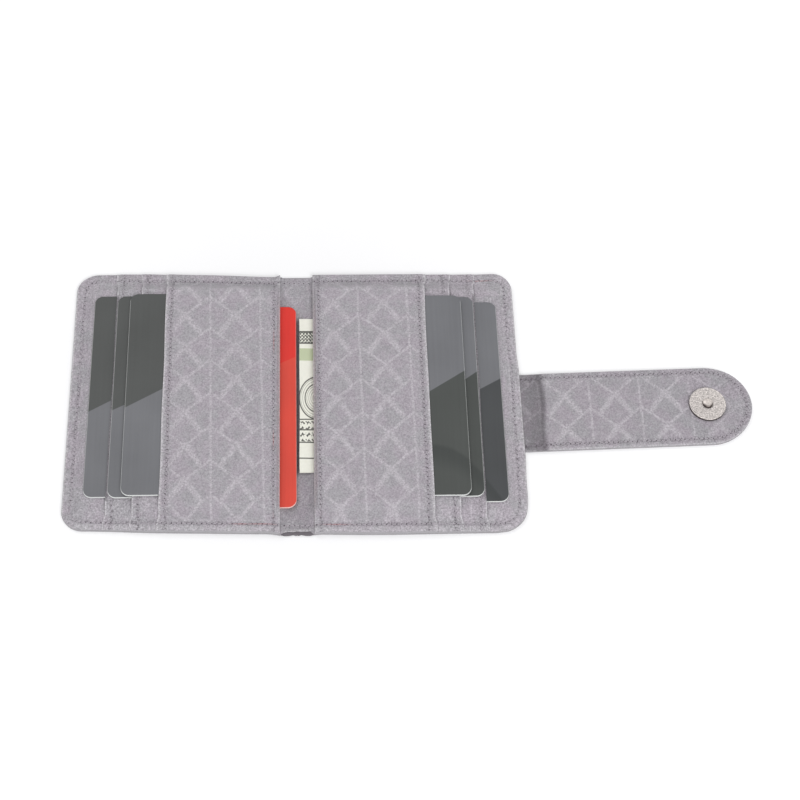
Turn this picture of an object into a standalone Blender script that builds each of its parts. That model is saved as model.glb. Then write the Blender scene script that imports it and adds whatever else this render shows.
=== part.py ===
"""Card wallet, lying open and flat with its inside up.

Metres, +Z up. X runs across the open wallet, towards the closing strap, and +Y towards its back
edge. The origin is under the middle of the spine, on the face that the wallet lies on.

Each panel is a stack of thin sheets. They lie pressed together along the sewn rim and rise over
the board and the cards between them, so one set of rises gives every sheet its height.
"""
import math

import bmesh
import bpy
import numpy as np
from mathutils import Matrix, Vector

for old in list(bpy.data.objects):
    bpy.data.objects.remove(old)

mm = 0.001

# Cards, the long side along Y
card_length = 85.6 * mm
card_width = 54.0 * mm
card_thickness = 0.76 * mm
card_corner_radius = 3.2 * mm
card_play = 2.2 * mm
hidden_card_play = 3.0 * mm
left_card_shifts = (1.8 * mm, 0.9 * mm, 1.0 * mm)
right_card_shifts = (-1.8 * mm, -0.2 * mm, -0.4 * mm)

# Rim of a panel: leather beyond the ends of the cards, seam and corners
card_end_margin = 12.2 * mm
panel_corner_radius = 7.8 * mm
rim_seam_inset = 3.0 * mm
seam_inset = 2.3 * mm
sewn_rim = 3.6 * mm

# Sheets
cover_thickness = 0.9 * mm
board_thickness = 0.6 * mm
lining_thickness = 0.2 * mm
slot_leather = 0.3 * mm
top_leather = 0.5 * mm
pared_share = 0.75
turned_wall = 0.3 * mm
thread_width = 0.4 * mm
thread_height = 0.1 * mm

# Stepped slots: how much of each card shows, the steps between the pockets' edges and the panel
# beyond the first pocket. The third card is home against the seam by the spine.
mouth_setback = 0.2 * mm
third_card_reveal = 13.7 * mm
second_card_reveal = 9.0 * mm
first_card_reveal = 8.3 * mm
slot_step = 9.6 * mm
first_slot_inset = 15.7 * mm
first_card_rise = 5.8 * mm
second_card_rise = 4.3 * mm
lining_front_setback = 1.9 * mm
lining_back_setback = 0.9 * mm

# Hidden pockets, which open towards the spine
red_card_reveal = 6.1 * mm
red_card_shift = -2.6 * mm
note_length = 65.0 * mm
note_width = 66.0 * mm
note_leaf = 0.12 * mm
note_fold_gap = 0.12 * mm
note_reveal = 5.2 * mm
note_shift = 1.8 * mm

# Closing strap and its snap
strap_width = 32.7 * mm
strap_shift = -6.5 * mm
strap_lean = 2.2 * mm
strap_tip_reach = 17.3 * mm
snap_centre_reach = 70.5 * mm
strap_core_thickness = 0.3 * mm
strap_leather = 0.6 * mm
strap_core_setback = 3.0 * mm
strap_seam_inset = 2.1 * mm
snap_radius = 7.0 * mm
snap_height = 1.2 * mm
disc_side_share = 0.55
disc_top_share = 0.93
stud_radius = 2.0 * mm
stud_height = 0.9 * mm
stud_waist_share = 0.8
stud_crown_share = 0.3
rivet_radius = 1.0 * mm
strap_washer_radius = 5.0 * mm
socket_wall = 0.3 * mm
socket_hole_radius = 2.8 * mm
magnet_thickness = 0.8 * mm

# Clearances
sheet_gap = 0.1 * mm
metal_gap = 0.2 * mm
fold_gap = 0.2 * mm
facing_gap = 0.4 * mm
closing_gap = 0.2 * mm
strap_clearance = 0.3 * mm

# Fineness of curves
corner_steps = 6
round_steps = 36

half_depth = card_length / 2 + card_end_margin
seam_y = half_depth - rim_seam_inset
seam_room = thread_height + sheet_gap
card_lift = card_thickness + sheet_gap
slot_lifts = [0, card_lift, 2 * card_lift + seam_room, 3 * card_lift + 2 * seam_room]

# Height of every sheet's lower face, pressed together at the rim and raised over the board
# and the hidden card, and how many slot cards lie under it. Cards 2 and 3 lie over a pocket's seam.
thickness = {"lining": lining_thickness, "slot_backing": slot_leather, "pocket_1": slot_leather,
             "pocket_2": slot_leather, "top_pocket": top_leather}
slot_cards_under = {"lining": 0, "slot_backing": 0, "pocket_1": 1, "pocket_2": 2, "top_pocket": 3}
board_floor = cover_thickness + sheet_gap
pressed_floor = {}
raised_floor = {}
pressed_level = board_floor
raised_level = board_floor + board_thickness + sheet_gap
for sheet, leather in thickness.items():
    pressed_floor[sheet] = pressed_level
    raised_floor[sheet] = raised_level
    pressed_level += leather * pared_share + sheet_gap
    raised_level += leather + sheet_gap
    if sheet == "lining":
        hidden_floor = raised_level
        raised_level += card_lift
stack_top = raised_level + slot_lifts[3] + thread_height

# The folds turn about the lining's upper face, and the spine is as wide as the two closed stacks
fold_height = raised_floor["lining"] + lining_thickness
spine_width = 2 * (stack_top - fold_height) + facing_gap
closed_thickness = spine_width + 2 * fold_height
spine_half = spine_width / 2
mouth_edge = spine_half + mouth_setback

# Edges of the stepped pockets and of the cards in them, measured from the middle of the spine
mouth_seam = mouth_edge + seam_inset
mouth_wall = mouth_seam + thread_width / 2 + turned_wall
third_card_edge = mouth_wall + 2 * sheet_gap + card_width
top_pocket_edge = third_card_edge - third_card_reveal
pocket_edge = {"pocket_1": top_pocket_edge + 2 * slot_step, "pocket_2": top_pocket_edge + slot_step,
               "top_pocket": top_pocket_edge}
card_edge = [pocket_edge["pocket_1"] + first_card_reveal, pocket_edge["pocket_2"] + second_card_reveal,
             third_card_edge]
card_floor_sheet = ["slot_backing", "pocket_1", "pocket_2"]
outer_edge = pocket_edge["pocket_1"] + first_slot_inset

# Where the rises start and end: across the depth, towards the outer rim, and from the spine
flat_half_depth = card_length / 2 + card_play
hidden_half_depth = card_length / 2 + hidden_card_play
rim_half_depth = half_depth - sewn_rim
flat_reach = card_edge[0] + sheet_gap
rim_reach = outer_edge - sewn_rim
rise_end = [edge - card_width - sheet_gap for edge in card_edge]
rise_start = [rise_end[0] - first_card_rise, rise_end[1] - second_card_rise, mouth_wall]

# Strap, from the outer edge of the right panel
strap_floor = cover_thickness + sheet_gap
strap_inner_floor = strap_floor + strap_core_thickness + sheet_gap
strap_thickness = strap_inner_floor + strap_leather
strap_half = strap_width / 2
strap_start = outer_edge + strap_clearance
disc_floor = strap_thickness + sheet_gap
disc_top = disc_floor + snap_height
side_length = closed_thickness + disc_top + closing_gap - 2 * strap_thickness
strap_turn = strap_start + side_length
snap_x = outer_edge + snap_centre_reach
snap_y = strap_shift + strap_lean
socket_x = -(strap_start - (snap_x - strap_turn))
socket_radius = snap_radius - sheet_gap
socket_depth = board_floor + board_thickness


def ramp(value, low, high):
    """0 at low, 1 at high and straight between them, whichever way they lie."""
    return min(max((value - low) / (high - low), 0.0), 1.0)


def rise_of_board(u, y):
    """1 over the board and the hidden card, 0 on the sewn rim."""
    return ramp(abs(y), rim_half_depth, hidden_half_depth) * ramp(u, rim_reach, flat_reach)


def rise_of_card(number, u, y):
    """1 over slot card 1, 2 or 3, 0 past its inner end and on the sewn rim."""
    along = ramp(abs(y), rim_half_depth, flat_half_depth)
    return along * ramp(u, rise_start[number - 1], rise_end[number - 1])


def sheet_faces(sheet, u, y):
    """Heights of a sheet's lower and upper face at distance u from the middle of the spine.

    Where the sheet turns down past a card's end, the upper face leads by the wall's thickness.
    """
    rise, cards = rise_of_board(u, y), slot_cards_under[sheet]
    floor = pressed_floor[sheet] + rise * (raised_floor[sheet] - pressed_floor[sheet])
    top = floor + thickness[sheet] * (pared_share + rise * (1 - pared_share))
    if cards:
        floor += slot_lifts[cards] * rise_of_card(cards, u, y)
        top += slot_lifts[cards] * rise_of_card(cards, u + turned_wall, y)
    return floor, top


def depth_stops():
    """Stations across the depth, shared by all sheets so that their faces stay parallel."""
    half = [flat_half_depth, hidden_half_depth, rim_half_depth, half_depth]
    return [-y for y in reversed(half)] + half


def arc(centre_x, centre_y, radius, start, end, steps):
    """Points on an arc, from one angle to another in degrees."""
    turns = np.radians(np.linspace(start, end, steps + 1))
    return [(centre_x + radius * math.cos(t), centre_y + radius * math.sin(t)) for t in turns]


def material(name, colour, roughness, metallic=0.0):
    made = bpy.data.materials.new(name)
    made.use_nodes = True
    shader = made.node_tree.nodes["Principled BSDF"]
    shader.inputs["Base Color"].default_value = (*colour, 1.0)
    shader.inputs["Roughness"].default_value = roughness
    shader.inputs["Metallic"].default_value = metallic
    made.diffuse_color = (*colour, 1.0)
    return made


printed_leather = material("printed_leather", (0.37, 0.35, 0.38), 0.6)
cover_leather = material("cover_leather", (0.34, 0.34, 0.36), 0.6)
lining_cloth = material("lining_cloth", (0.3, 0.29, 0.31), 0.8)
stiff_board = material("stiff_board", (0.45, 0.38, 0.28), 0.9)
grey_thread = material("grey_thread", (0.3, 0.27, 0.3), 0.7)
grey_card = material("grey_card", (0.12, 0.14, 0.14), 0.35)
red_plastic = material("red_plastic", (0.65, 0.06, 0.04), 0.35)
note_paper = material("note_paper", (0.45, 0.5, 0.42), 0.85)
nickel = material("nickel", (0.68, 0.68, 0.66), 0.28, 1.0)
magnet_metal = material("magnet_metal", (0.25, 0.25, 0.26), 0.45, 1.0)

joints = {}


def joint(name, point, carrier=None):
    """An empty on a joint's axis, which carries the pieces that turn about it."""
    empty = bpy.data.objects.new(name, None)
    joints[name] = (empty, Vector(point))
    empty.location = point
    if carrier:
        empty.parent, origin = joints[carrier]
        empty.location = Vector(point) - origin
    bpy.context.scene.collection.objects.link(empty)


joint("spine_fold", (spine_half, 0, fold_height))
joint("cover_fold", (-spine_half, 0, fold_height), "spine_fold")
joint("strap_side_fold", (strap_start, strap_shift, strap_thickness))
joint("strap_end_fold", (strap_turn, strap_shift, strap_thickness), "strap_side_fold")


def place(mesh, name, finish, carrier=None, smooth=False):
    """Makes the object, with its origin on the joint that carries it."""
    made = bpy.data.objects.new(name, mesh)
    mesh.materials.append(finish)
    bpy.context.scene.collection.objects.link(made)
    if carrier:
        made.parent, origin = joints[carrier]
        mesh.transform(Matrix.Translation(-origin))
    if smooth:
        mesh.shade_smooth()
        mesh.set_sharp_from_angle(angle=math.radians(35))
    return made


def closed_mesh(name, points, faces):
    mesh = bpy.data.meshes.new(name)
    mesh.from_pydata([tuple(p) for p in points], [], faces)
    shell = bmesh.new()
    shell.from_mesh(mesh)
    bmesh.ops.recalc_face_normals(shell, faces=shell.faces)
    shell.to_mesh(mesh)
    shell.free()
    return mesh


def plate(name, outline, floor, height, finish, carrier=None):
    """A flat sheet: its outline extruded upwards from floor."""
    shell = bmesh.new()
    face = shell.faces.new([shell.verts.new((x, y, floor)) for x, y in outline])
    raised = bmesh.ops.extrude_face_region(shell, geom=[face])["geom"]
    top = [v for v in raised if isinstance(v, bmesh.types.BMVert)]
    bmesh.ops.translate(shell, verts=top, vec=(0, 0, height))
    bmesh.ops.recalc_face_normals(shell, faces=shell.faces)
    mesh = bpy.data.meshes.new(name)
    shell.to_mesh(mesh)
    shell.free()
    return place(mesh, name, finish, carrier)


def turned(name, centre, profile, finish, carrier=None):
    """A closed profile of radius and height, spun about the vertical line through centre.

    A profile that starts and ends on the line makes a solid, any other one makes a ring.
    """
    shell = bmesh.new()
    points = [shell.verts.new((centre[0] + r, centre[1], z)) for r, z in profile]
    edges = [shell.edges.new(pair) for pair in zip(points, points[1:])]
    if profile[0][0] > 0:
        edges.append(shell.edges.new((points[-1], points[0])))
    bmesh.ops.spin(shell, geom=points + edges, cent=(centre[0], centre[1], 0), axis=(0, 0, 1),
                   angle=math.tau, steps=round_steps, use_merge=True)
    bmesh.ops.remove_doubles(shell, verts=shell.verts, dist=sheet_gap / 100)
    bmesh.ops.recalc_face_normals(shell, faces=shell.faces)
    mesh = bpy.data.meshes.new(name)
    shell.to_mesh(mesh)
    shell.free()
    return place(mesh, name, finish, carrier, smooth=True)


def washer(name, centre, inner, outer, floor, height, finish, carrier=None):
    profile = [(inner, floor), (outer, floor), (outer, floor + height), (inner, floor + height)]
    return turned(name, centre, profile, finish, carrier)


def round_hole(piece, centre, radius, carrier=None):
    """Cuts an upright hole right through a plate."""
    overrun = closed_thickness
    shell = bmesh.new()
    bmesh.ops.create_cone(shell, cap_ends=True, segments=round_steps, radius1=radius, radius2=radius,
                          depth=2 * overrun)
    bmesh.ops.translate(shell, verts=shell.verts, vec=(centre[0], centre[1], 0))
    mesh = bpy.data.meshes.new(piece.name + "_hole")
    shell.to_mesh(mesh)
    shell.free()
    cutter = place(mesh, piece.name + "_hole", cover_leather, carrier)
    cutter.hide_render = True
    cutter.display_type = "WIRE"
    cut = piece.modifiers.new("hole", "BOOLEAN")
    cut.operation = "DIFFERENCE"
    cut.solver = "EXACT"
    cut.object = cutter


def laid_sheet(name, side, sheet, reach_stops, edge_depth, finish, carrier=None):
    """A leather sheet of a panel, on a grid of stations.

    reach_stops are the stations from the spine outwards, and edge_depth(u) is half the sheet's
    depth there, less than the wallet's only along the rounded corners.
    """
    rows = depth_stops()
    lower, upper = [], []
    for u in reach_stops:
        for y in rows:
            y = y * edge_depth(u) / half_depth
            floor, top = sheet_faces(sheet, u, y)
            lower.append((side * u, y, floor))
            upper.append((side * u, y, top))
    count, width = len(lower), len(rows)
    faces = []
    for i in range(len(reach_stops) - 1):
        for j in range(width - 1):
            a, b = i * width + j, (i + 1) * width + j
            faces += [(a, b, b + 1), (a, b + 1, a + 1)]
            faces += [(count + a, count + b + 1, count + b), (count + a, count + a + 1, count + b + 1)]
    rim = [j for j in range(width)] + [i * width + width - 1 for i in range(1, len(reach_stops))]
    rim += [count - 1 - j for j in range(1, width)]
    rim += [i * width for i in range(len(reach_stops) - 2, 0, -1)]
    for a, b in zip(rim, rim[1:] + rim[:1]):
        faces += [(a, b, count + b), (a, count + b, count + a)]
    return place(closed_mesh(name, lower + upper, faces), name, finish, carrier)


def stitch_line(name, run, finish, carrier=None):
    """A sewn thread as one thin ribbon along run, a list of points under its lower face."""
    points = np.array(run)
    ahead = np.diff(points[:, :2], axis=0)
    ahead /= np.linalg.norm(ahead, axis=1)[:, None]
    along = np.vstack([ahead[:1], ahead[:-1] + ahead[1:], ahead[-1:]])
    along /= np.linalg.norm(along, axis=1)[:, None]
    across = np.column_stack([-along[:, 1], along[:, 0], np.zeros(len(along))]) * thread_width / 2
    up = np.array([0, 0, thread_height])
    ring = np.stack([points - across, points + across, points + across + up, points - across + up], axis=1)
    faces = [(0, 1, 2, 3), tuple(4 * (len(run) - 1) + k for k in (3, 2, 1, 0))]
    for i in range(len(run) - 1):
        for k in range(4):
            here, after = 4 * i + k, 4 * i + (k + 1) % 4
            faces.append((here, here + 4, after + 4, after))
    return place(closed_mesh(name, ring.reshape(-1, 3), faces), name, finish, carrier)


def edge_depth_of(u):
    """Half the depth of a panel at u: smaller only along the rounded outer corners."""
    past = max(u - (outer_edge - panel_corner_radius), 0.0)
    return half_depth - panel_corner_radius + math.sqrt(max(panel_corner_radius ** 2 - past ** 2, 0.0))


def corner_stops():
    """Stations along the rounded corner, at even angles."""
    return [x for x, _ in arc(outer_edge - panel_corner_radius, 0, panel_corner_radius, 90, 0, corner_steps)]


def panel_outline(side, inner):
    """A panel's cover: square at the fold, rounded at the outer corners."""
    centre_u, centre_y = outer_edge - panel_corner_radius, half_depth - panel_corner_radius
    outer = arc(centre_u, -centre_y, panel_corner_radius, -90, 0, corner_steps)
    outer += arc(centre_u, centre_y, panel_corner_radius, 0, 90, corner_steps)
    return [(side * u, y) for u, y in [(inner, -half_depth)] + outer + [(inner, half_depth)]]


def rectangle(low_x, high_x, low_y, high_y):
    return [(low_x, low_y), (high_x, low_y), (high_x, high_y), (low_x, high_y)]


def card_outline(low_x, high_x, middle_y, length, radius):
    """A card's outline with its four round corners."""
    low_y, high_y = middle_y - length / 2 + radius, middle_y + length / 2 - radius
    low_x, high_x = low_x + radius, high_x - radius
    steps = corner_steps
    return (arc(high_x, low_y, radius, -90, 0, steps) + arc(high_x, high_y, radius, 0, 90, steps)
            + arc(low_x, high_y, radius, 90, 180, steps) + arc(low_x, low_y, radius, 180, 270, steps))


def build_panel(side_name, side, carrier):
    """One panel: cover, board, lining, slot backing, two stepped pockets and the top pocket."""
    cover = plate(side_name + "_cover", panel_outline(side, spine_half + fold_gap / 2), 0,
                  cover_thickness, cover_leather, carrier)
    low, high = sorted((side * mouth_seam, side * flat_reach))
    outline = rectangle(low, high, -hidden_half_depth, hidden_half_depth)
    stiffener = plate(side_name + "_board", outline, board_floor, board_thickness, stiff_board, carrier)
    reach = sorted({mouth_edge, flat_reach, rim_reach, *corner_stops()})
    laid_sheet(side_name + "_lining", side, "lining", reach, edge_depth_of, lining_cloth, carrier)
    laid_sheet(side_name + "_slot_backing", side, "slot_backing", reach, edge_depth_of,
               printed_leather, carrier)
    for start, end, sheet in zip(rise_start, rise_end, pocket_edge):
        turns = {start, end, start - turned_wall, end - turned_wall}
        reach = sorted({mouth_edge, pocket_edge[sheet]} | turns)
        laid_sheet(side_name + "_" + sheet, side, sheet, reach, lambda u: half_depth,
                   printed_leather, carrier)
    return cover, stiffener


def over(sheet, u, y):
    """Where a thread lies on a sheet."""
    return sheet_faces(sheet, u, y)[1] + sheet_gap


def build_panel_seams(side_name, side, carrier):
    """The seam round the rim, stepping down at each pocket's edge, and the seams along Y."""
    back, u = [], mouth_edge + thread_width
    for sheet in ("top_pocket", "pocket_2", "pocket_1"):
        level, past = over(sheet, u, seam_y), pocket_edge[sheet] + sheet_gap
        back += [(u, seam_y, level), (past, seam_y, level)]
        u = past + thread_height
    level = over("slot_backing", u, seam_y)
    radius = panel_corner_radius - rim_seam_inset
    centre_u, centre_y = outer_edge - panel_corner_radius, half_depth - panel_corner_radius
    corner = arc(centre_u, centre_y, radius, 90, 0, corner_steps)
    back += [(u, seam_y, level)] + [(x, y, level) for x, y in corner]
    run = back + [(u, -y, z) for u, y, z in reversed(back)]
    stitch_line(side_name + "_edge_thread", [(side * u, y, z) for u, y, z in run], grey_thread, carrier)
    end = seam_y - 2 * thread_width
    rows = [-end] + [y for y in depth_stops() if abs(y) < end - thread_width] + [end]
    for seam, sheet, u in [(name, name, edge - seam_inset) for name, edge in pocket_edge.items()] + [
            ("mouth", "top_pocket", mouth_seam)]:
        stitch_line(side_name + "_" + seam + "_thread", [(side * u, y, over(sheet, u, y)) for y in rows],
                    grey_thread, carrier)


def build_spine():
    """The soft strip between the folds: cover, lining and the seam's thread at each end."""
    edge = spine_half - fold_gap / 2
    plate("spine_cover", rectangle(-edge, edge, -half_depth, half_depth), 0, cover_thickness,
          cover_leather, "spine_fold")
    lined = rectangle(-edge, edge, lining_front_setback - half_depth, half_depth - lining_back_setback)
    plate("spine_lining", lined, board_floor, lining_thickness, printed_leather, "spine_fold")
    level = board_floor + lining_thickness + sheet_gap
    reach = spine_half - 2 * thread_width
    for end, y in (("front", -seam_y), ("back", seam_y)):
        stitch_line("spine_thread_" + end, [(-reach, y, level), (reach, y, level)], grey_thread,
                    "spine_fold")


def build_cards():
    """Three grey cards a side, home in their slots, the red card and the folded note."""
    for side_name, side, carrier, shifts in (("left", -1, "cover_fold", left_card_shifts),
                                             ("right", 1, None, right_card_shifts)):
        for n, shift in enumerate(shifts):
            sheet = card_floor_sheet[n]
            floor = raised_floor[sheet] + thickness[sheet] + slot_lifts[n] + sheet_gap
            if n:
                floor += seam_room
            low, high = sorted((side * (card_edge[n] - card_width), side * card_edge[n]))
            plate(f"{side_name}_card_{n + 1}",
                  card_outline(low, high, shift, card_length, card_corner_radius),
                  floor, card_thickness, grey_card, carrier)
    edge = -(mouth_edge - red_card_reveal)
    plate("red_card", card_outline(edge - card_width, edge, red_card_shift, card_length, card_corner_radius),
          hidden_floor, card_thickness, red_plastic, "cover_fold")
    build_note()


def build_note():
    """A banknote folded once, its fold deep in the hidden pocket: two leaves and the bend."""
    start = mouth_edge - note_reveal
    fold = start + note_length - note_leaf - note_fold_gap / 2
    outer, inner = note_leaf + note_fold_gap / 2, note_fold_gap / 2
    middle = hidden_floor + outer
    loop = [(start, middle - outer)] + arc(fold, middle, outer, -90, 90, corner_steps)
    loop += [(start, middle + outer), (start, middle + inner)]
    loop += arc(fold, middle, inner, 90, -90, corner_steps) + [(start, middle - inner)]
    low, high = note_shift - note_width / 2, note_shift + note_width / 2
    points = [(x, y, z) for y in (low, high) for x, z in loop]
    count = len(loop)
    faces = [(k, (k + 1) % count, count + (k + 1) % count, count + k) for k in range(count)]
    half = count // 2
    for k in range(half - 1):
        mates = (k, k + 1, count - 2 - k, count - 1 - k)
        faces += [mates, tuple(count + m for m in reversed(mates))]
    place(closed_mesh("banknote", points, faces), "banknote", note_paper)


def strap_middle(x):
    """Middle line of the strap, which leans a little to the back between its root and the snap."""
    return strap_shift + strap_lean * (x - strap_start) / (snap_x - strap_start)


def strap_tip_outline(start, inset):
    """The strap's end piece, from its fold to the round tip beyond the snap."""
    half, reach = strap_half - inset, strap_tip_reach - inset
    tip = [(snap_x + reach * math.cos(t), snap_y + half * math.sin(t))
           for t in np.linspace(-math.pi / 2, math.pi / 2, 3 * corner_steps + 1)]
    return [(start, strap_middle(start) - half)] + tip + [(start, strap_middle(start) + half)]


def build_strap():
    """Outer leather, core and printed inner leather, once for the side and once for the end."""
    near, far = strap_start + fold_gap / 2, strap_turn - fold_gap / 2
    turn = strap_turn + fold_gap / 2
    root, bend = strap_middle(near), strap_middle(far)
    layers = (("outer", 0, cover_thickness, cover_leather, 0),
              ("core", strap_floor, strap_core_thickness, stiff_board, strap_core_setback),
              ("inner", strap_inner_floor, strap_leather, printed_leather, 0))
    for layer, floor, height, finish, inset in layers:
        half = strap_half - inset
        side = [(near, root - half), (far, bend - half), (far, bend + half), (near, root + half)]
        plate("strap_side_" + layer, side, floor, height, finish, "strap_side_fold")
        end = plate("strap_end_" + layer, strap_tip_outline(turn, inset), floor, height, finish,
                    "strap_end_fold")
        if layer == "core":
            round_hole(end, (snap_x, snap_y), strap_washer_radius + metal_gap, "strap_end_fold")
        if layer == "inner":
            round_hole(end, (snap_x, snap_y), rivet_radius + metal_gap, "strap_end_fold")
    level = strap_thickness + sheet_gap
    for end, beside in (("front", strap_seam_inset - strap_half), ("back", strap_half - strap_seam_inset)):
        stitch_line("strap_side_thread_" + end, [(near, root + beside, level), (far, bend + beside, level)],
                    grey_thread, "strap_side_fold")
    run = [(x, y, level) for x, y in strap_tip_outline(turn, strap_seam_inset)]
    stitch_line("strap_end_thread", run, grey_thread, "strap_end_fold")


def build_snap():
    """The disc and stud on the strap, riveted through it to a washer in its core."""
    centre = (snap_x, snap_y)
    washer("snap_washer", centre, rivet_radius + metal_gap, strap_washer_radius, strap_floor,
           strap_core_thickness, nickel, "strap_end_fold")
    hole, shoulder = rivet_radius + metal_gap, disc_floor + disc_side_share * snap_height
    disc = [(hole, disc_floor), (snap_radius, disc_floor), (snap_radius, shoulder),
            (disc_top_share * snap_radius, disc_top), (hole, disc_top)]
    turned("snap_disc", centre, disc, nickel, "strap_end_fold")
    foot, top = disc_top + sheet_gap, disc_top + stud_height
    waist = stud_waist_share * stud_radius
    shoulder = top - stud_crown_share * stud_height
    stud = [(0, strap_floor), (rivet_radius, strap_floor), (rivet_radius, foot), (waist, foot),
            (stud_radius, (foot + shoulder) / 2), (stud_radius, shoulder), (waist, top), (0, top)]
    turned("snap_stud", centre, stud, nickel, "strap_end_fold")


def build_socket(cover, stiffener):
    """The other half, set flush in the left panel's outer face: cup, ring magnet and washer."""
    centre = (socket_x, snap_y)
    for piece in (cover, stiffener):
        round_hole(piece, centre, socket_radius + metal_gap, "cover_fold")
    cup = [(socket_hole_radius, 0), (socket_radius, 0), (socket_radius, socket_depth),
           (socket_radius - socket_wall, socket_depth), (socket_radius - socket_wall, socket_wall),
           (socket_hole_radius, socket_wall)]
    turned("socket_cup", centre, cup, nickel, "cover_fold")
    outer = socket_radius - socket_wall - sheet_gap
    magnet_floor = socket_wall + sheet_gap
    washer("socket_magnet", centre, socket_hole_radius, outer, magnet_floor, magnet_thickness,
           magnet_metal, "cover_fold")
    washer_floor = magnet_floor + magnet_thickness + sheet_gap
    washer("socket_washer", centre, socket_hole_radius, outer, washer_floor, socket_depth - washer_floor,
           nickel, "cover_fold")


left_cover, left_board = build_panel("left", -1, "cover_fold")
build_panel("right", 1, None)
build_panel_seams("left", -1, "cover_fold")
build_panel_seams("right", 1, None)
build_spine()
build_cards()
build_strap()
build_snap()
build_socket(left_cover, left_board)
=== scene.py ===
"""Looks of a card wallet of grey printed leather, lying open and flat with its inside up.

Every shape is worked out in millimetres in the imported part's frame: x runs from the spine to the
closing strap, y to the back edge and z up from the face that the wallet lies on. A panel is built
once, by its distance u from the middle of the spine, and made for the left (-1) and right (1) side.
"""

import math

import bpy
import numpy as np
from mathutils import Matrix, Vector


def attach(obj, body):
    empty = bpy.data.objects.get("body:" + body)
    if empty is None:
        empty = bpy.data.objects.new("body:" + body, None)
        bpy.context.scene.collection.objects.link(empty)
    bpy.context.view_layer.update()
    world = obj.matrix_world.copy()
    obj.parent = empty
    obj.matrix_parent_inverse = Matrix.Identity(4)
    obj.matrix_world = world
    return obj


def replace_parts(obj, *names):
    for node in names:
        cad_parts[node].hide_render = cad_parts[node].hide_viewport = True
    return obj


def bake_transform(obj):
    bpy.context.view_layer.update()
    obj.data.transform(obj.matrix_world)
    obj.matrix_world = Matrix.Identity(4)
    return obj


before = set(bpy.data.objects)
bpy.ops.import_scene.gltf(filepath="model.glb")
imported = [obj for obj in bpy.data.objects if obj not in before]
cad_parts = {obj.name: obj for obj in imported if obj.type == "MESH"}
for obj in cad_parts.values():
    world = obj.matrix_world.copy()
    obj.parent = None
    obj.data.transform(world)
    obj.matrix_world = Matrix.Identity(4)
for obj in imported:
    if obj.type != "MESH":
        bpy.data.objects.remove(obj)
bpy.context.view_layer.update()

# Studio: the wallet lies on a white table in a white room, under a round soft lamp in front of it and a
# weaker one behind its left. The room looks white to the camera without more light on the leather.


def node(tree, kind, inputs=None, **settings):
    """Adds a node, sets its settings, and gives each named input a value or another node's socket."""
    made = tree.nodes.new("ShaderNode" + kind)
    for setting, value in settings.items():
        setattr(made, setting, value)
    for place, value in (inputs or {}).items():
        if isinstance(value, bpy.types.NodeSocket):
            tree.links.new(value, made.inputs[place])
        else:
            made.inputs[place].default_value = value
    return made


def maths(tree, operation, *values):
    """One step of arithmetic on sockets or numbers."""
    return node(tree, "Math", dict(enumerate(values)), operation=operation).outputs[0]


def seen_directly(tree):
    """1 for a camera, mirror or glass ray, 0 for the rays that light the object."""
    path = node(tree, "LightPath").outputs
    rays = maths(tree, "ADD", path["Is Camera Ray"], path["Is Glossy Ray"])
    return maths(tree, "MINIMUM", maths(tree, "ADD", rays, path["Is Transmission Ray"]), 1.0)


room_light = 0.56
pure_white = (1, 1, 1, 1)
room = bpy.data.worlds.new("white_room")
bpy.context.scene.world = room
room.use_nodes = True
tree = room.node_tree
tree.nodes.clear()
brightness = maths(tree, "MULTIPLY_ADD", seen_directly(tree), 1.0 - room_light, room_light)
sky = node(tree, "Background", {"Color": pure_white, "Strength": brightness})
node(tree, "OutputWorld", {"Surface": sky.outputs[0]})

# Table top: the glow that the camera sees on it is weakest under the wallet, where soft shade should
# show, and grows over the first metre, so that the far table is as white as the room.
table_half = 2.5
near_glow, glow_per_metre, glow_reach = 0.165, 0.9, 1.0
table_mesh = bpy.data.meshes.new("table_top")
table_mesh.from_pydata([(x * table_half, y * table_half, 0) for x, y in ((-1, -1), (1, -1), (1, 1), (-1, 1))],
                       [], [(0, 1, 2, 3)])
table = bpy.data.objects.new("table_top", table_mesh)
bpy.context.scene.collection.objects.link(table)
table_paint = bpy.data.materials.new("white_table")
table_paint.use_nodes = True
tree = table_paint.node_tree
tree.nodes.clear()
matt = node(tree, "BsdfDiffuse", {"Color": (0.78, 0.78, 0.79, 1)})
place = node(tree, "TexCoord").outputs["Object"]
far_out = node(tree, "VectorMath", {0: place}, operation="LENGTH").outputs["Value"]
faded = maths(tree, "MULTIPLY_ADD", maths(tree, "MINIMUM", far_out, glow_reach), glow_per_metre, near_glow)
extra = maths(tree, "MULTIPLY", seen_directly(tree), faded)
glow = node(tree, "Emission", {"Color": pure_white, "Strength": extra})
both = node(tree, "AddShader", {0: matt.outputs[0], 1: glow.outputs[0]})
node(tree, "OutputMaterial", {"Surface": both.outputs[0]})
table_mesh.materials.append(table_paint)


def soft_lamp(name, size, energy, spot, aimed_at):
    """A round area lamp at a spot, turned towards the point that it is aimed at."""
    data = bpy.data.lights.new(name, "AREA")
    data.shape, data.size, data.energy = "DISK", size, energy
    made = bpy.data.objects.new(name, data)
    made.location = spot
    made.rotation_mode = "QUATERNION"
    made.rotation_quaternion = (Vector(aimed_at) - Vector(spot)).to_track_quat("-Z", "Y")
    bpy.context.scene.collection.objects.link(made)


lit_spot = (0.05, 0, 0)
soft_lamp("key_lamp", 0.8, 11.5, (0.42, -1.05, 1.15), lit_spot)
soft_lamp("fill_lamp", 1.0, 4.8, (-0.72, 0.62, 1.3), lit_spot)

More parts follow.
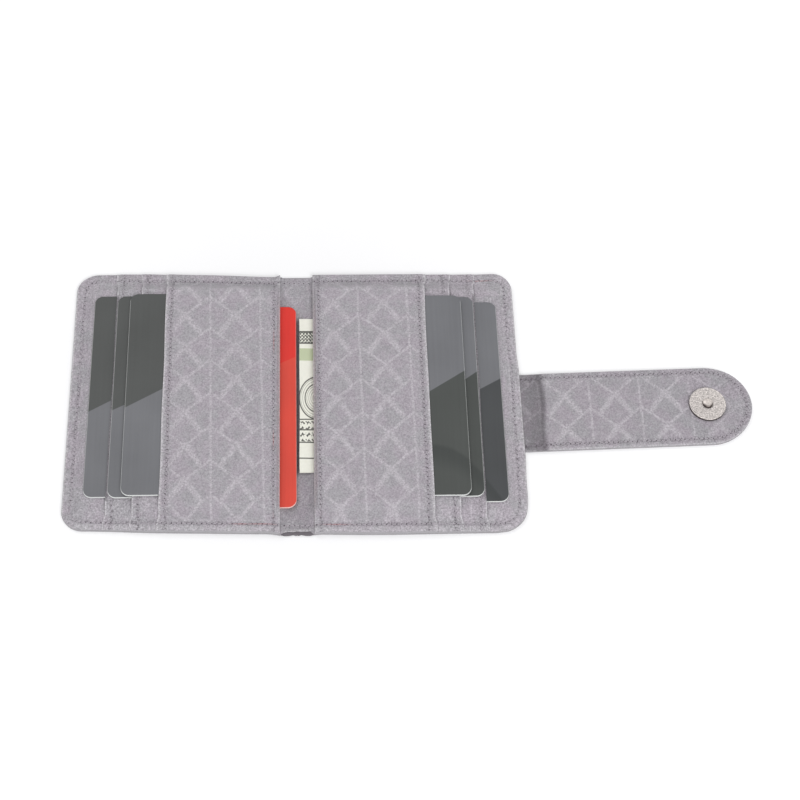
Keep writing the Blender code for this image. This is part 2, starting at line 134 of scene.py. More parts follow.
# Camera: from the front and 61 degrees above the table, turned a little to the right and rolled. Its
# angles are in radians, and its lens is given by the focal length in pixels of a picture 800 wide.
mm = 0.001
view_height, view_turn, view_roll = 1.0610412, 0.1072637, 0.0846384
view_distance, aim = 625.5715 * mm, Vector((38.8309 * mm, 0.1829 * mm, 0))
film_width, picture_width, focal_pixels = 36, 800, 1659.2754
ahead = Vector((math.sin(view_turn) * math.cos(view_height), math.cos(view_turn) * math.cos(view_height),
                -math.sin(view_height)))
level = Vector((math.cos(view_turn), -math.sin(view_turn), 0))
above = level.cross(ahead)
across = math.cos(view_roll) * level + math.sin(view_roll) * above
upward = math.cos(view_roll) * above - math.sin(view_roll) * level
camera_data = bpy.data.cameras.new("camera")
camera_data.sensor_width = film_width
camera_data.lens = film_width * focal_pixels / picture_width
camera_data.clip_start = 0.01
camera = bpy.data.objects.new("camera", camera_data)
camera.matrix_world = Matrix.Translation(aim - view_distance * ahead) @ Matrix(
    (across, upward, -ahead)).transposed().to_4x4()
bpy.context.scene.collection.objects.link(camera)
bpy.context.scene.camera = camera
bpy.context.scene.view_settings.view_transform = "Standard"

# Outer cover: one piece of pebbled grey leather under both panels and the spine, its cut edge lying
# flat on the table. It is built in two halves that meet along the spine.


def box(name):
    """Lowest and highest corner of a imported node, in millimetres to a hundredth."""
    corners = np.array([vertex.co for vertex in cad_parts[name].data.vertices]) / mm
    return np.round(corners.min(axis=0), 2).tolist(), np.round(corners.max(axis=0), 2).tolist()


def centre_of(name):
    """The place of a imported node's middle on the table, in millimetres."""
    low, high = box(name)
    return [round((low[k] + high[k]) / 2, 2) for k in range(2)]


sides = {"left": -1, "right": 1}
(mouth_edge, _, _), (outer_edge, half_depth, _) = box("right_lining")
(cover_start, _, _), (_, _, cover_thickness) = box("right_cover")
fold_x = round((box("spine_cover")[1][0] + cover_start) / 2, 2)
edge_roll = cover_thickness / 2
socket_centre, socket_room = centre_of("socket_cup"), 7.1
corner_radius, fold_reach, cut = 7.8, 1.6, 0.01


def ease(value, low, high):
    """Smooth step from 0 at low to 1 at high: 3s^2 - 2s^3 of the share s of the way."""
    s = np.clip((value - low) / (high - low), 0, 1)
    return s * s * (3 - 2 * s)


def ripple(x, y, seed, length):
    """Soft uneven surface between about -1 and 1: seven sine waves of random heading, near one length."""
    random = np.random.default_rng(seed)
    total = np.zeros(np.broadcast(x, y).shape)
    for heading, start, stretch in zip(random.uniform(0, np.pi, 7), random.uniform(0, 6.28, 7),
                                       random.uniform(0.7, 1.6, 7)):
        total = total + np.sin((x * np.cos(heading) + y * np.sin(heading)) * 6.28 * stretch / length + start)
    return total / 3.5


def stations(low, high, step, seams, roll):
    """Places along one side of a sheet: even steps, and closer ones by its seams and rounded edges."""
    even = np.linspace(low, high, int(round((high - low) / step)) + 1)
    near = [seam + np.linspace(-1.2, 1.2, 13) for seam in seams]
    curve = roll * (1 - np.cos(np.radians([20, 40, 60, 90])))
    places = np.concatenate([even, low + curve, high - curve, *near])
    return np.unique(np.round(places[(places >= low) & (places <= high)], 2))


def corner_depth(u, edge):
    """Half the panel's depth at u: less than the full one only along the round outer corners.

    There it is the height of a quarter circle over its centre's: the root of radius^2 - past^2.
    """
    past = np.clip(u - (edge - corner_radius), 0, corner_radius)
    return half_depth - corner_radius + np.sqrt(corner_radius ** 2 - past ** 2)


def rim_distance(u, y):
    """Distance from the panel's outline, a rectangle with two corners rounded about their centres."""
    past_u, past_y = u - (outer_edge - corner_radius), np.abs(y) - (half_depth - corner_radius)
    straight = np.minimum(outer_edge - u, half_depth - np.abs(y))
    return np.where((past_u > 0) & (past_y > 0), corner_radius - np.hypot(past_u, past_y), straight)


def as_laid(points):
    """Shifts leather points in the plane, as real sewn edges lie a little uneven.

    The shift is a ripple of up to 0.25 mm, and a sum of smooth steps that draws the edges and corners
    in or out by up to 2 mm. No outer edge moves outwards by the strap, which folds close round it.
    """
    x, y = points[..., 0], points[..., 1]
    moved = points.copy()
    moved[..., 0] += 0.2 * ripple(x, y, 11, 60.0) * ease(np.abs(x), 8, 30) * (1 - ease(np.abs(x), 80, 84))
    moved[..., 1] += 0.25 * ripple(x, y, 12, 52.0) * (1 - ease(x, 80, 84))
    # Right outer edge: in a little behind and before the strap, and rounder at its front corner
    corner = ease(x, 70, 83) * ease(-y, 41, 53)
    moved[..., 0] -= 1.1 * corner + 0.45 * ease(x, 70, 84) * ease(y, 10.5, 20)
    moved[..., 0] -= 0.35 * ease(x, 70, 84) * ease(-y, 24, 36)
    # Front edge: in on the left, most of all at its outer corner, and out on the right and the spine
    moved[..., 1] += 2.0 * ease(-x, 8, 84) * ease(-y, 18, 55) + 1.1 * corner
    moved[..., 1] += 0.4 * ease(-x, 6, 12) * ease(-y, 47, 54)
    moved[..., 1] -= ease(-y, 20, 55) * (0.6 * ease(x, 20, 60) + 0.5 * ease(np.abs(x), 9, 4))
    # Back edge: out at both outer corners, and in where the left pocket meets the spine
    moved[..., 1] += ease(y, 20, 55) * (1.2 * ease(-x, 25, 80) + 0.8 * ease(x, 40, 80)
                                        - 0.9 * ease(x, -36, -10) * ease(-x, 6, 8.5))
    return moved


def both_faces(side, u, y, heights):
    """The two faces of a panel's sheet, as grids of points, from its upper and lower height."""
    return [as_laid(np.stack([side * u, y, z], axis=-1)) for z in heights]


def solid(name, points, faces, finish, body=None, **marks):
    """A closed mesh from points and arrays of faces, all turned outwards.

    The mesh's volume is the sum of the wedges from the origin to each face, and where it is negative
    every face is turned round. Each mark is one number a point, for the finish to read.
    """
    points = points.reshape(-1, 3)
    volume = 0.0
    for ring in faces:
        for k in range(1, ring.shape[1] - 1):
            wedge = np.cross(points[ring[:, k]], points[ring[:, k + 1]])
            volume += np.einsum("ij,ij->", points[ring[:, 0]], wedge)
    mesh = bpy.data.meshes.new(name)
    loops = [ring[:, ::-1] if volume < 0 else ring for ring in faces]
    mesh.from_pydata((points * mm).tolist(), [], [face for ring in loops for face in ring.tolist()])
    mesh.shade_smooth()
    mesh.set_sharp_from_angle(angle=math.radians(50))
    for mark, values in marks.items():
        mesh.attributes.new(mark, "FLOAT", "POINT").data.foreach_set(
            "value", np.asarray(values, np.float32).ravel())
    mesh.materials.append(finish)
    made = bpy.data.objects.new(name, mesh)
    bpy.context.scene.collection.objects.link(made)
    if body:
        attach(made, body)
    return made


def grid_faces(index):
    """The four-cornered faces between neighbouring rows and columns of a grid of point numbers."""
    corners = (index[:-1, :-1], index[1:, :-1], index[1:, 1:], index[:-1, 1:])
    return np.stack(corners, axis=-1).reshape(-1, 4)


def sheet(name, upper, lower, finish, body=None, **marks):
    """A sheet from its upper and lower face, two grids of points whose outermost points are the same."""
    rows, columns = upper.shape[:2]
    top = np.arange(rows * columns).reshape(rows, columns)
    under = top.copy()
    under[1:-1, 1:-1] = rows * columns + np.arange((rows - 2) * (columns - 2)).reshape(rows - 2, -1)
    points = np.concatenate([upper.reshape(-1, 3), lower[1:-1, 1:-1].reshape(-1, 3)])
    given = {mark: np.concatenate([v.ravel(), v[1:-1, 1:-1].ravel()]) for mark, v in marks.items()}
    return solid(name, points, [grid_faces(top), grid_faces(under)[:, ::-1]], finish, body, **given)


def rounded(floor, top, share):
    """Upper and lower height of a sheet, closing in a half circle as share goes from 1 to 0 at its edge."""
    bulge = np.sqrt(1 - (1 - np.clip(share, 0, 1)) ** 2)
    middle, half = (floor + top) / 2, (top - floor) / 2
    return middle + half * bulge, middle - half * bulge


def shader_group(name, inputs, outputs):
    """A node group with named number inputs, given with their values, and named outputs."""
    tree = bpy.data.node_groups.new(name, "ShaderNodeTree")
    for label, value in inputs.items():
        made = tree.interface.new_socket(label, in_out="INPUT", socket_type="NodeSocketFloat")
        made.default_value = value
    for label in outputs:
        tree.interface.new_socket(label, in_out="OUTPUT", socket_type="NodeSocketFloat")
    return tree, tree.nodes.new("NodeGroupInput").outputs, tree.nodes.new("NodeGroupOutput").inputs


def use(tree, group, **inputs):
    """Places a node group in a material with its own values."""
    made = node(tree, "Group", node_tree=group)
    for label, value in inputs.items():
        made.inputs[label.replace("_", " ")].default_value = value
    return made.outputs


def paint(red, green, blue):
    """A colour as it looks on a screen, 0 to 255, as Blender's linear colour."""
    seen = np.array([red, green, blue]) / 255
    linear = np.where(seen <= 0.04045, seen / 12.92, ((seen + 0.055) / 1.055) ** 2.4)
    return (*linear.tolist(), 1.0)


def blended(tree, share, first, second):
    """Mixes two colours by a share. A colour mix has its sockets at places 0, 6 and 7, and 2 comes out."""
    return node(tree, "Mix", {0: share, 6: first, 7: second}, data_type="RGBA").outputs[2]


def stepped(tree, value, low, high, to_low=0.0, to_high=1.0):
    """Smooth step of a socket between two values."""
    return node(tree, "MapRange", {0: value, 1: low, 2: high, 3: to_low, 4: to_high},
                interpolation_type="SMOOTHSTEP").outputs[0]


def finish(name, roughness, **sockets):
    """A material with one Principled shader and its plain values; the tree and shader are returned too."""
    made = bpy.data.materials.new(name)
    made.use_nodes = True
    shader = made.node_tree.nodes["Principled BSDF"]
    shader.inputs["Roughness"].default_value = roughness
    for socket, value in sockets.items():
        shader.inputs[socket.replace("_", " ")].default_value = value
    return made, made.node_tree, shader


def raised(tree, shader, height, distance):
    """Puts a height on the shader as a bump, distance metres high."""
    bump = node(tree, "Bump", {"Height": height, "Distance": distance, "Strength": 1.0})
    tree.links.new(bump.outputs[0], shader.inputs["Normal"])


# Fine grain pressed into all the leather: pebbles about as wide as Pebble says in millimetres, pores
# between them, a fine speckle of tone, and a cloudy unevenness as broad as a fingertip.
grain, grain_in, grain_out = shader_group("leather_grain", {"Pebble": 1.0}, ["Tone", "Cloud", "Height"])
place = node(grain, "TexCoord").outputs["Object"]
per_metre = maths(grain, "DIVIDE", 1000.0, grain_in["Pebble"])
pebbles = node(grain, "TexVoronoi", {"Vector": place, "Scale": per_metre}, feature="DISTANCE_TO_EDGE")
speckle = node(grain, "TexNoise", {"Vector": place, "Scale": per_metre, "Detail": 4.0, "Roughness": 0.75})
cloud = node(grain, "TexNoise", {"Vector": place, "Scale": 130.0, "Detail": 4.0, "Roughness": 0.65})
dome = stepped(grain, pebbles.outputs["Distance"], 0.0, 0.22)
grain.links.new(speckle.outputs[0], grain_out["Tone"])
grain.links.new(cloud.outputs[0], grain_out["Cloud"])
grain.links.new(maths(grain, "MULTIPLY_ADD", speckle.outputs[0], 0.6, dome), grain_out["Height"])


def toned(tree, colour, tone, cloud_value, fine, broad):
    """Makes a colour lighter and darker, by fine with the leather's speckle and by broad with its clouds."""
    speck, wide = (node(tree, "MapRange", {0: value, 1: 0.3, 2: 0.7, 3: 1 - part, 4: 1 + part}).outputs[0]
                   for value, part in ((tone, fine), (cloud_value, broad)))
    dye = colour[:3] if isinstance(colour, tuple) else colour
    made = node(tree, "VectorMath", {0: dye, "Scale": maths(tree, "MULTIPLY", speck, wide)},
                operation="SCALE")
    return made.outputs[0]


# Plain leather of the cover, in one dye that is darker where the mark gutter says
bare_edge = paint(104, 99, 104)
cover_leather, tree, shader = finish("cover_leather", 0.58, Specular_IOR_Level=0.35)
skin = use(tree, grain, Pebble=1.1)
gutter = node(tree, "Attribute", attribute_name="gutter").outputs["Fac"]
dye = blended(tree, gutter, paint(166, 163, 167), bare_edge)
tree.links.new(toned(tree, dye, skin["Tone"], skin["Cloud"], 0.10, 0.05), shader.inputs["Base Color"])
tree.links.new(stepped(tree, skin["Tone"], 0.2, 0.8, 0.7, 0.5), shader.inputs["Roughness"])
raised(tree, shader, skin["Height"], 0.05 * mm)


def corner_stations(edge):
    """Places along u that follow the round outer corner, every 6 degrees of its quarter circle."""
    return np.round(edge - corner_radius + corner_radius * np.sin(np.radians(np.arange(0, 91, 6))), 2)


def half_grid(step, roll):
    """Stations of half the open wallet, from the middle of the spine to the rounded outer corners."""
    along = [stations(0.0, outer_edge, step, [fold_x], roll), corner_stations(outer_edge), [cut]]
    fine_y = stations(-half_depth, half_depth, step, [], roll)
    u, y = np.meshgrid(np.unique(np.concatenate(along)), fine_y, indexing="ij")
    return u, y * corner_depth(u, outer_edge) / half_depth


round_steps = 96
turn = np.linspace(0, 2 * np.pi, round_steps + 1)[:-1]
round_out = np.stack([np.cos(turn), np.sin(turn)], axis=-1)


def pierced(piece, centre, radius):
    """Cuts a round hole right through a piece, with an upright cylinder, and keeps the cut mesh."""
    ring = [np.column_stack([np.array(centre) + radius * round_out, turn * 0 + z]) for z in (-5, 5)]
    low = np.arange(round_steps)
    side_faces = np.stack([low, np.roll(low, -1), np.roll(low, -1) + round_steps, low + round_steps], axis=-1)
    punch = solid("punch", np.concatenate(ring), [side_faces, low[None, ::-1], low[None] + round_steps],
                  piece.data.materials[0])
    cut_out = piece.modifiers.new("hole", "BOOLEAN")
    cut_out.object, cut_out.operation, cut_out.solver = punch, "DIFFERENCE", "EXACT"
    bpy.context.view_layer.update()
    shape = piece.evaluated_get(bpy.context.evaluated_depsgraph_get())
    piece.data = bpy.data.meshes.new_from_object(shape)
    piece.modifiers.clear()
    bpy.data.objects.remove(punch)


def bends_at_fold(piece):
    """Bakes a half's placement into its mesh."""
    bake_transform(piece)


for side_name, side in sides.items():
    u, y = half_grid(1.5, edge_roll)
    share = np.minimum(rim_distance(u, y) / edge_roll, u / cut)
    gutter = (1 - ease(u, 5.6, 6.4)) * ease(-y, 52.5, 53.0)
    y = y + 0.3 * ripple(3 * u, 0 * u, 21, 7.0) * (1 - ease(u, 4.5, 6.0)) * ease(-y, 51, half_depth)
    faces = both_faces(side, u, y, rounded(0 * u, 0 * u + cover_thickness, share))
    made = sheet(side_name + "_outer_cover", *faces, cover_leather, gutter=gutter)
    if side < 0:
        pierced(made, socket_centre, socket_room)
    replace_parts(made, side_name + "_cover", "spine_cover")
    bends_at_fold(made)

# Lining: the lowest sheet of the inside, which shows as a strip in the gutter, and of which all the
# pockets are cut too. It is made in two halves that meet along the spine, as the cover is.
seam_inset, rim_inset, sewn_rim, full_lift_y = 2.3, 3.0, 3.6, 45.0
seam_y = half_depth - rim_inset
_, (board_edge, board_end, _) = box("right_board")
# Heights of a sheet's lower face, pressed flat along the sewn rim and lifted by the board and the
# hidden card; then how far a stack of slot cards lifts it, and where along u it rises over them
pressed = {"lining": 1.0, "slot_backing": 1.25, "pocket_1": 1.575, "pocket_2": 1.9, "top_pocket": 2.225}
lifted = {"lining": 1.7, "slot_backing": 2.86, "pocket_1": 3.26, "pocket_2": 3.66, "top_pocket": 4.06}
leather = {"lining": 0.2, "slot_backing": 0.3, "pocket_1": 0.3, "pocket_2": 0.3, "top_pocket": 0.5}
cards_under = {"lining": 0, "slot_backing": 0, "pocket_1": 1, "pocket_2": 2, "top_pocket": 3}
card_stack = [0, 0.86, 1.92, 2.98]
card_rise = [(0, 1), (17.14, 22.94), (9.74, 14.04), (3.6, 9.5)]
pocket_edge = {name: box("right_" + name)[1][0] for name in leather if name != "lining"}


def laid(sheet_name, u, y):
    """Lower and upper height of one sheet of a panel.

    Every sheet lies pressed flat along the sewn rim, where it keeps three quarters of its thickness,
    rises over the board and the hidden card, and rises again over the slot cards under it. Each rise
    is a smooth step along u times one along y.
    """
    board = ease(np.abs(y), half_depth - sewn_rim, board_end) * ease(u, outer_edge - sewn_rim, board_edge)
    floor = pressed[sheet_name] + board * (lifted[sheet_name] - pressed[sheet_name])
    top = floor + leather[sheet_name] * (0.75 + 0.25 * board)
    start, end = card_rise[cards_under[sheet_name]]
    lift = card_stack[cards_under[sheet_name]] * ease(np.abs(y), half_depth - sewn_rim, full_lift_y)
    return floor + lift * ease(u, start, end), top + lift * ease(u + 0.2, start, end)


def seam_pull(*distances):
    """How far thread pulls the leather down: 0.11 * exp(-(d / 0.42)^2) at a distance d from a seam."""
    return 0.11 * sum(np.exp(-(d / 0.42) ** 2) for d in distances)


def bell(*distances, width=0.65):
    """1 at distance 0 from any of several lines, fading to 0 by about twice the given width.

    It is the sum of exp(-(distance / width)^2) over the lines, held below 1.
    """
    return sum(np.exp(-(d / width) ** 2) for d in distances).clip(0, 1)


# Printed trellis: thin upright lines a pitch apart, and half way between them a column of knots. Two
# broad bars run down and outwards from each knot, and two thin lines come back in to the knot below
# from a point on the uprights, so that diamonds stand between the lines. Lengths are in millimetres.
trellis, trellis_in, trellis_out = shader_group(
    "trellis_print", {"Start": 0.0, "Knot": 0.0, "Wide": 1.0, "Tall": 1.0, "Slant": 0.0, "Lean": 0.0,
                      "Stretch": 0.0}, ["Ribbon"])
# Start is the x of an upright and Knot the y of a knot. Wide and Tall scale the pitch and the rise,
# Slant tips the uprights and Lean the rows, and Stretch opens the rows up towards the front.
pitch, rise, apex_drop, bar_slope, bar_reach = 19.2, 14.03, 5.9, 1.34, 6.3
thin_half, bar_half, tick_half, whisker_half = 0.48, 1.05, 0.35, 0.4
thin_slope = (rise - apex_drop) * 2 / pitch
place = node(trellis, "TexCoord").outputs["Object"]
in_mm = node(trellis, "VectorMath", {0: place, "Scale": 1000.0}, operation="SCALE").outputs[0]
spot = node(trellis, "SeparateXYZ", {0: in_mm}).outputs
slanted = maths(trellis, "MULTIPLY_ADD", spot[1], trellis_in["Slant"], spot[0])
from_start = maths(trellis, "SUBTRACT", slanted, trellis_in["Start"])
from_start = maths(trellis, "DIVIDE", from_start, trellis_in["Wide"])
from_upright = maths(trellis, "PINGPONG", from_start, pitch / 2)
from_column = maths(trellis, "SUBTRACT", pitch / 2, from_upright)
straightened = maths(trellis, "SUBTRACT", spot[1], maths(trellis, "MULTIPLY", from_start, trellis_in["Lean"]))
below_knot = maths(trellis, "SUBTRACT", trellis_in["Knot"], straightened)
eased = maths(trellis, "SUBTRACT", 1.0, maths(trellis, "MULTIPLY", trellis_in["Stretch"], below_knot))
below_knot = maths(trellis, "DIVIDE", maths(trellis, "MULTIPLY", below_knot, eased), trellis_in["Tall"])


def stroke(off_line, slope, half_width):
    """1 on a slanting line, from how far below it a point is, repeated every rise."""
    wrapped = maths(trellis, "WRAP", off_line, rise / 2, -rise / 2)
    square_on = maths(trellis, "MULTIPLY", maths(trellis, "ABSOLUTE", wrapped), math.cos(math.atan(slope)))
    return stepped(trellis, square_on, half_width * 1.5, half_width * 0.5)


below_apex = maths(trellis, "SUBTRACT", below_knot, apex_drop)
thin_line = maths(trellis, "SUBTRACT", below_apex, maths(trellis, "MULTIPLY", from_upright, thin_slope))
bar_line = maths(trellis, "SUBTRACT", below_knot, maths(trellis, "MULTIPLY", from_column, bar_slope))
thin = stroke(thin_line, thin_slope, thin_half)
bars = maths(trellis, "MULTIPLY", stroke(bar_line, bar_slope, bar_half),
             stepped(trellis, from_column, bar_reach + 0.4, bar_reach - 0.4))
ticks = maths(trellis, "MULTIPLY", stroke(below_knot, 0.0, tick_half),
              stepped(trellis, from_upright, 2.0, 1.4, 0, 0.6))
whiskers = maths(trellis, "MULTIPLY", stroke(below_knot, 0.0, whisker_half),
                 stepped(trellis, from_column, 4.0, 1.0, 0, 0.9))
ribbon = stepped(trellis, from_upright, 0.65, 0.2)
for other in (thin, bars, ticks, whiskers):
    ribbon = maths(trellis, "MAXIMUM", ribbon, other)
trellis.links.new(ribbon, trellis_out["Ribbon"])


def printed_leather(name, brightness, **laid_out):
    """Printed leather: a faded trellis over cloudy, speckled dye, with pale cut edges and darkened seams.

    The marks are clear, how well the print shows, rim, 1 on a cut edge, which is pale from wear and a
    painted highlight and also brings painted light onto some strips and slopes, seam, 1 along a row of
    stitches, where pits and painted shade in the sewn groove darken it, and a mark of painted shade, how
    much darker a fold or a deep place is painted.
    """
    made, tree, shader = finish(name, 0.62, Specular_IOR_Level=0.3, Sheen_Weight=0.05)
    clear, rim, seam, dim = (node(tree, "Attribute", attribute_name=mark).outputs["Fac"]
                             for mark in ("clear", "rim", "seam", "dim"))
    skin = use(tree, grain, Pebble=0.62)
    violet, green = (tuple(brightness * level for level in dye[:3]) + (1.0,)
                     for dye in (paint(169, 162, 170), paint(163, 160, 165)))
    dye = blended(tree, stepped(tree, skin["Cloud"], 0.4, 0.6), violet, green)
    printed = use(tree, trellis, **laid_out)["Ribbon"]
    ribbon = maths(tree, "MULTIPLY", printed, stepped(tree, skin["Tone"], 0.32, 0.62, 0.4, 0.68))
    dye = blended(tree, maths(tree, "MULTIPLY", ribbon, clear), dye, paint(190, 185, 191))
    # Pale cut edges, worn and with painted highlight, and painted light on the strips and slopes that the rim
    # mark reaches.
    dye = blended(tree, maths(tree, "MULTIPLY", rim, 0.7), dye, paint(214, 212, 215))
    # Seams: darker pits, and an even painted shade along the sewn groove.
    pits = maths(tree, "MULTIPLY", seam, stepped(tree, skin["Tone"], 0.56, 0.38))
    pits_and_groove_shade = maths(tree, "MULTIPLY_ADD", pits, 0.5, maths(tree, "MULTIPLY", seam, 0.16))
    dye = blended(tree, pits_and_groove_shade, dye, paint(104, 98, 104))
    # Painted shade in folds, cracks and deep places.
    dye = blended(tree, dim, dye, paint(58, 53, 58))
    grit = maths(tree, "MULTIPLY", stepped(tree, skin["Tone"], 0.34, 0.66, -0.13, 0.13),
                 maths(tree, "SUBTRACT", 1.0, clear))
    gritty = node(tree, "VectorMath", {0: dye, "Scale": maths(tree, "ADD", grit, 1.0)}, operation="SCALE")
    dye = gritty.outputs[0]
    tree.links.new(toned(tree, dye, skin["Tone"], skin["Cloud"], 0.33, 0.03), shader.inputs["Base Color"])
    tree.links.new(stepped(tree, skin["Tone"], 0.2, 0.8, 0.74, 0.54), shader.inputs["Roughness"])
    raised(tree, shader, skin["Height"], 0.035 * mm)
    return made


prints = {"left": printed_leather("left_print", 1.0, Start=-12.9, Knot=5.8, Wide=0.987, Slant=0.024),
          "right": printed_leather("right_print", 1.0, Start=24.2, Knot=-3.1, Wide=0.987, Tall=1.03,
                                   Slant=0.0164, Stretch=0.0007)}
(note_start, note_front, note_bottom), (note_end, note_back, _) = box("banknote")
note_middle_y, note_half = (note_front + note_back) / 2, (note_back - note_front) / 2
gutter_floor, lining_roll = 1.0, leather["lining"] / 2

for side_name, side in sides.items():
    u, y = half_grid(1.5, lining_roll)
    # The strip in the gutter sinks between the panels and stops short of the ends of the spine, raggedly
    # at the front. Painted shade darkens it a little, more towards the front, and nearly to black in the
    # crack beside the banknote.
    short = 1 - ease(u, 4.2, 6.2)
    recess = np.where(y < 0, 1.3 + 0.3 * ripple(side * u, 0 * u, 71, 2.2), 0.9)
    y = y * (1 - short * recess / half_depth)
    floor, top = laid("lining", u, y)
    valley = 1 - ease(u, 2.6, 6.1)
    floor = floor - valley * (floor - gutter_floor)
    top = top - valley * (top - gutter_floor - leather["lining"])
    unshortened = y / np.abs(y).max(axis=1, keepdims=True) * corner_depth(u, outer_edge)
    share = np.minimum(rim_distance(u, unshortened) / lining_roll, u / cut)
    faces = both_faces(side, u, y, rounded(floor, top, share))
    by_note = ease(u, 1.9, 1.0) * ease(np.abs(y - note_middle_y), note_half + 1.6, note_half - 1.2)
    made = sheet(side_name + "_inside_lining", *faces, prints[side_name], clear=0.6 + 0 * u,
                 rim=bell(y + half_depth - recess, width=0.35) * short, seam=bell(np.abs(y) - seam_y),
                 dim=np.maximum(short * (0.02 + 0.18 * ease(-y, -10, 50)), 0.85 * by_note))
    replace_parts(made, side_name + "_lining", "spine_lining")
    bends_at_fold(made)

# Stepped slots: the backing and two pockets a side, each turned in and sewn down 2.3 mm from its edge.
# Where one sheet comes out from under the next it is free to wrinkle a little.
slot_start, slot_roll = 7.4, 0.14
card_reach, card_ends = box("right_card_1")[1][0], box("left_card_1")[1][1]


def across_stations(step, roll):
    """Places across a pocket sheet, closer by its seams and where it steps down past the cards' ends."""
    even = stations(-half_depth, half_depth, step, [-seam_y, seam_y], roll)
    return np.union1d(even, np.concatenate([np.linspace(44, 52, 21), np.linspace(-52, -44, 21)]))


def flared(own, y):
    """How far a pocket's edge spreads outwards where it is sewn into the rim, own from its edge."""
    return 0.9 * bell(own, width=2.0) * ease(np.abs(y), 48.5, 52.5)


for side_name, side in sides.items():
    for layer, (name, over_it) in enumerate((("slot_backing", "pocket_1"), ("pocket_1", "pocket_2"),
                                             ("pocket_2", "top_pocket"))):
        edge, full = pocket_edge[name], name == "slot_backing"
        fine_u = stations(slot_start, edge, 1.5, [edge - seam_inset], slot_roll)
        fine_u = np.union1d(fine_u, edge - np.array([0.3, 0.55, 0.8]))
        fine_y = across_stations(1.5, slot_roll)
        if full:
            fine_u = np.union1d(fine_u, corner_stations(edge))
            fine_u = np.union1d(fine_u, np.linspace(edge - corner_radius, edge, 18))
        u, y = np.meshgrid(fine_u, fine_y, indexing="ij")
        if full:
            y = y * corner_depth(u, edge) / half_depth
        around, own = rim_distance(u, y), edge - u
        inside = np.minimum(around, own)
        share = np.minimum(inside / slot_roll, (u - slot_start) / cut)
        top, floor = rounded(*laid(name, u, y), share)
        shown = ease(u, pocket_edge[over_it] + 0.2, pocket_edge[over_it] + 1.5)
        past_cards = np.maximum(ease(np.abs(y), card_ends, card_ends + 2),
                                ease(u, card_reach + 0.36, card_reach + 2.36))
        loose = past_cards * shown
        seams = [around - rim_inset] if full else [around - rim_inset, own - seam_inset]
        wrinkle = loose * (0.07 + 0.07 * ripple(u, y, 31 + layer, 9.0))
        top = top + ease(inside, 0.1, 0.6) * (wrinkle - seam_pull(*seams) * np.where(loose > 0.2, 1, 0.3))
        flare = 0 * u if full else flared(own, y)
        faces = both_faces(side, u + flare, y, (top, floor))
        # Cut edges are pale, worn and with painted highlight, but get painted shade where a card stands on
        # both sides of them. Painted light also brightens the front strip, the right rim and the slope
        # behind the cards.
        between_cards = ease(np.abs(y), card_ends, 43.4) * ease(own, 1.0, 0.6) * (name == "pocket_1")
        pale_wear_and_light = np.maximum.reduce([bell(own, width=0.4) * (1 - 0.85 * between_cards),
                                  0.3 * ease(-y, 52.0, 53.6), 0.16 * (side > 0) * ease(u, 77.4, 79.0),
                                  0.12 * bell(y - 48.5, width=3.0)])
        made = sheet(side_name + "_" + name + "_leather", *faces, prints[side_name], side_name + "_panel",
                     clear=0.35 * ease(inside, 1, 4), rim=pale_wear_and_light, seam=bell(*seams),
                     dim=0.5 * between_cards)
        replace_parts(made, side_name + "_" + name)

# Wide top pockets: thicker leather drawn down over a full stack of cards. By the gutter its edge is
# turned over all the sheets under it and sewn through, which leaves the hidden pocket's mouth below.
mouth_seam, turned_edge, top_roll = mouth_edge + seam_inset, 7.32, 0.24
for side_name, side in sides.items():
    edge = pocket_edge["top_pocket"]
    mouth_bend = mouth_edge + 0.8 * (1 - np.cos(np.radians([8, 16, 25, 35, 50, 70, 90])))
    fine_u = stations(mouth_edge, edge, 1.2, [mouth_seam, edge - seam_inset], top_roll)
    fine_u = np.unique(np.concatenate([fine_u, mouth_bend, [7.3, 7.35], np.linspace(8.7, 9.4, 11)]))
    u, y = np.meshgrid(fine_u, across_stations(1.2, top_roll), indexing="ij")
    floor, top = laid("top_pocket", u, y)
    floor = np.where(u < turned_edge, laid("slot_backing", u, y)[0] + 0.02, floor)
    around, own, mouth = half_depth - np.abs(y), edge - u, u - mouth_edge
    share = np.minimum(np.minimum(around, own) / top_roll, mouth / np.maximum((top - floor) / 2, 0.2))
    top, floor = rounded(floor, top, share)
    inside = np.minimum(np.minimum(around, own), mouth)
    seams = (around - rim_inset, own - seam_inset, u - mouth_seam)
    within = np.minimum(np.minimum(around - rim_inset, own - seam_inset), u - mouth_seam - 1)
    crown = 0.13 * ease(within, 0, 7) * (1 + 0.5 * ripple(u, y, 41, 26.0)) + 0.03 * ripple(u, y, 42, 7.0)
    strip = 0.06 * ease(inside, 0.2, 1.1) * ease(seam_inset - inside, 0.2, 1.1)
    top = top + ease(inside, 0.1, 0.6) * (ease(within, -0.5, 1.5) * crown + strip - seam_pull(*seams))
    faces = both_faces(side, u + flared(own, y), y, (top, floor))
    # The rim mark pales the cut edges and the mouth, worn and with painted highlight, and paints light onto
    # the front strip and the slope behind the cards.
    made = sheet(side_name + "_top_pocket_leather", *faces, prints[side_name], side_name + "_panel",
                 clear=0.3 + 0.7 * ease(inside, 2, 6), seam=bell(*seams), dim=0 * u,
                 rim=np.maximum.reduce([bell(own, mouth, width=0.4), 0.3 * ease(-y, 52.0, 53.6),
                                        0.16 * bell(y - 48.0, width=3.2)]))
    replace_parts(made, side_name + "_top_pocket")

# Edge paint: a bead of grey lacquer rolled along the cut edges of each panel, which seals cover,
# lining and pockets together. It steps down where each pocket ends.
bead_width, bead_start, bead_over = 0.16, 0.04, 0.02


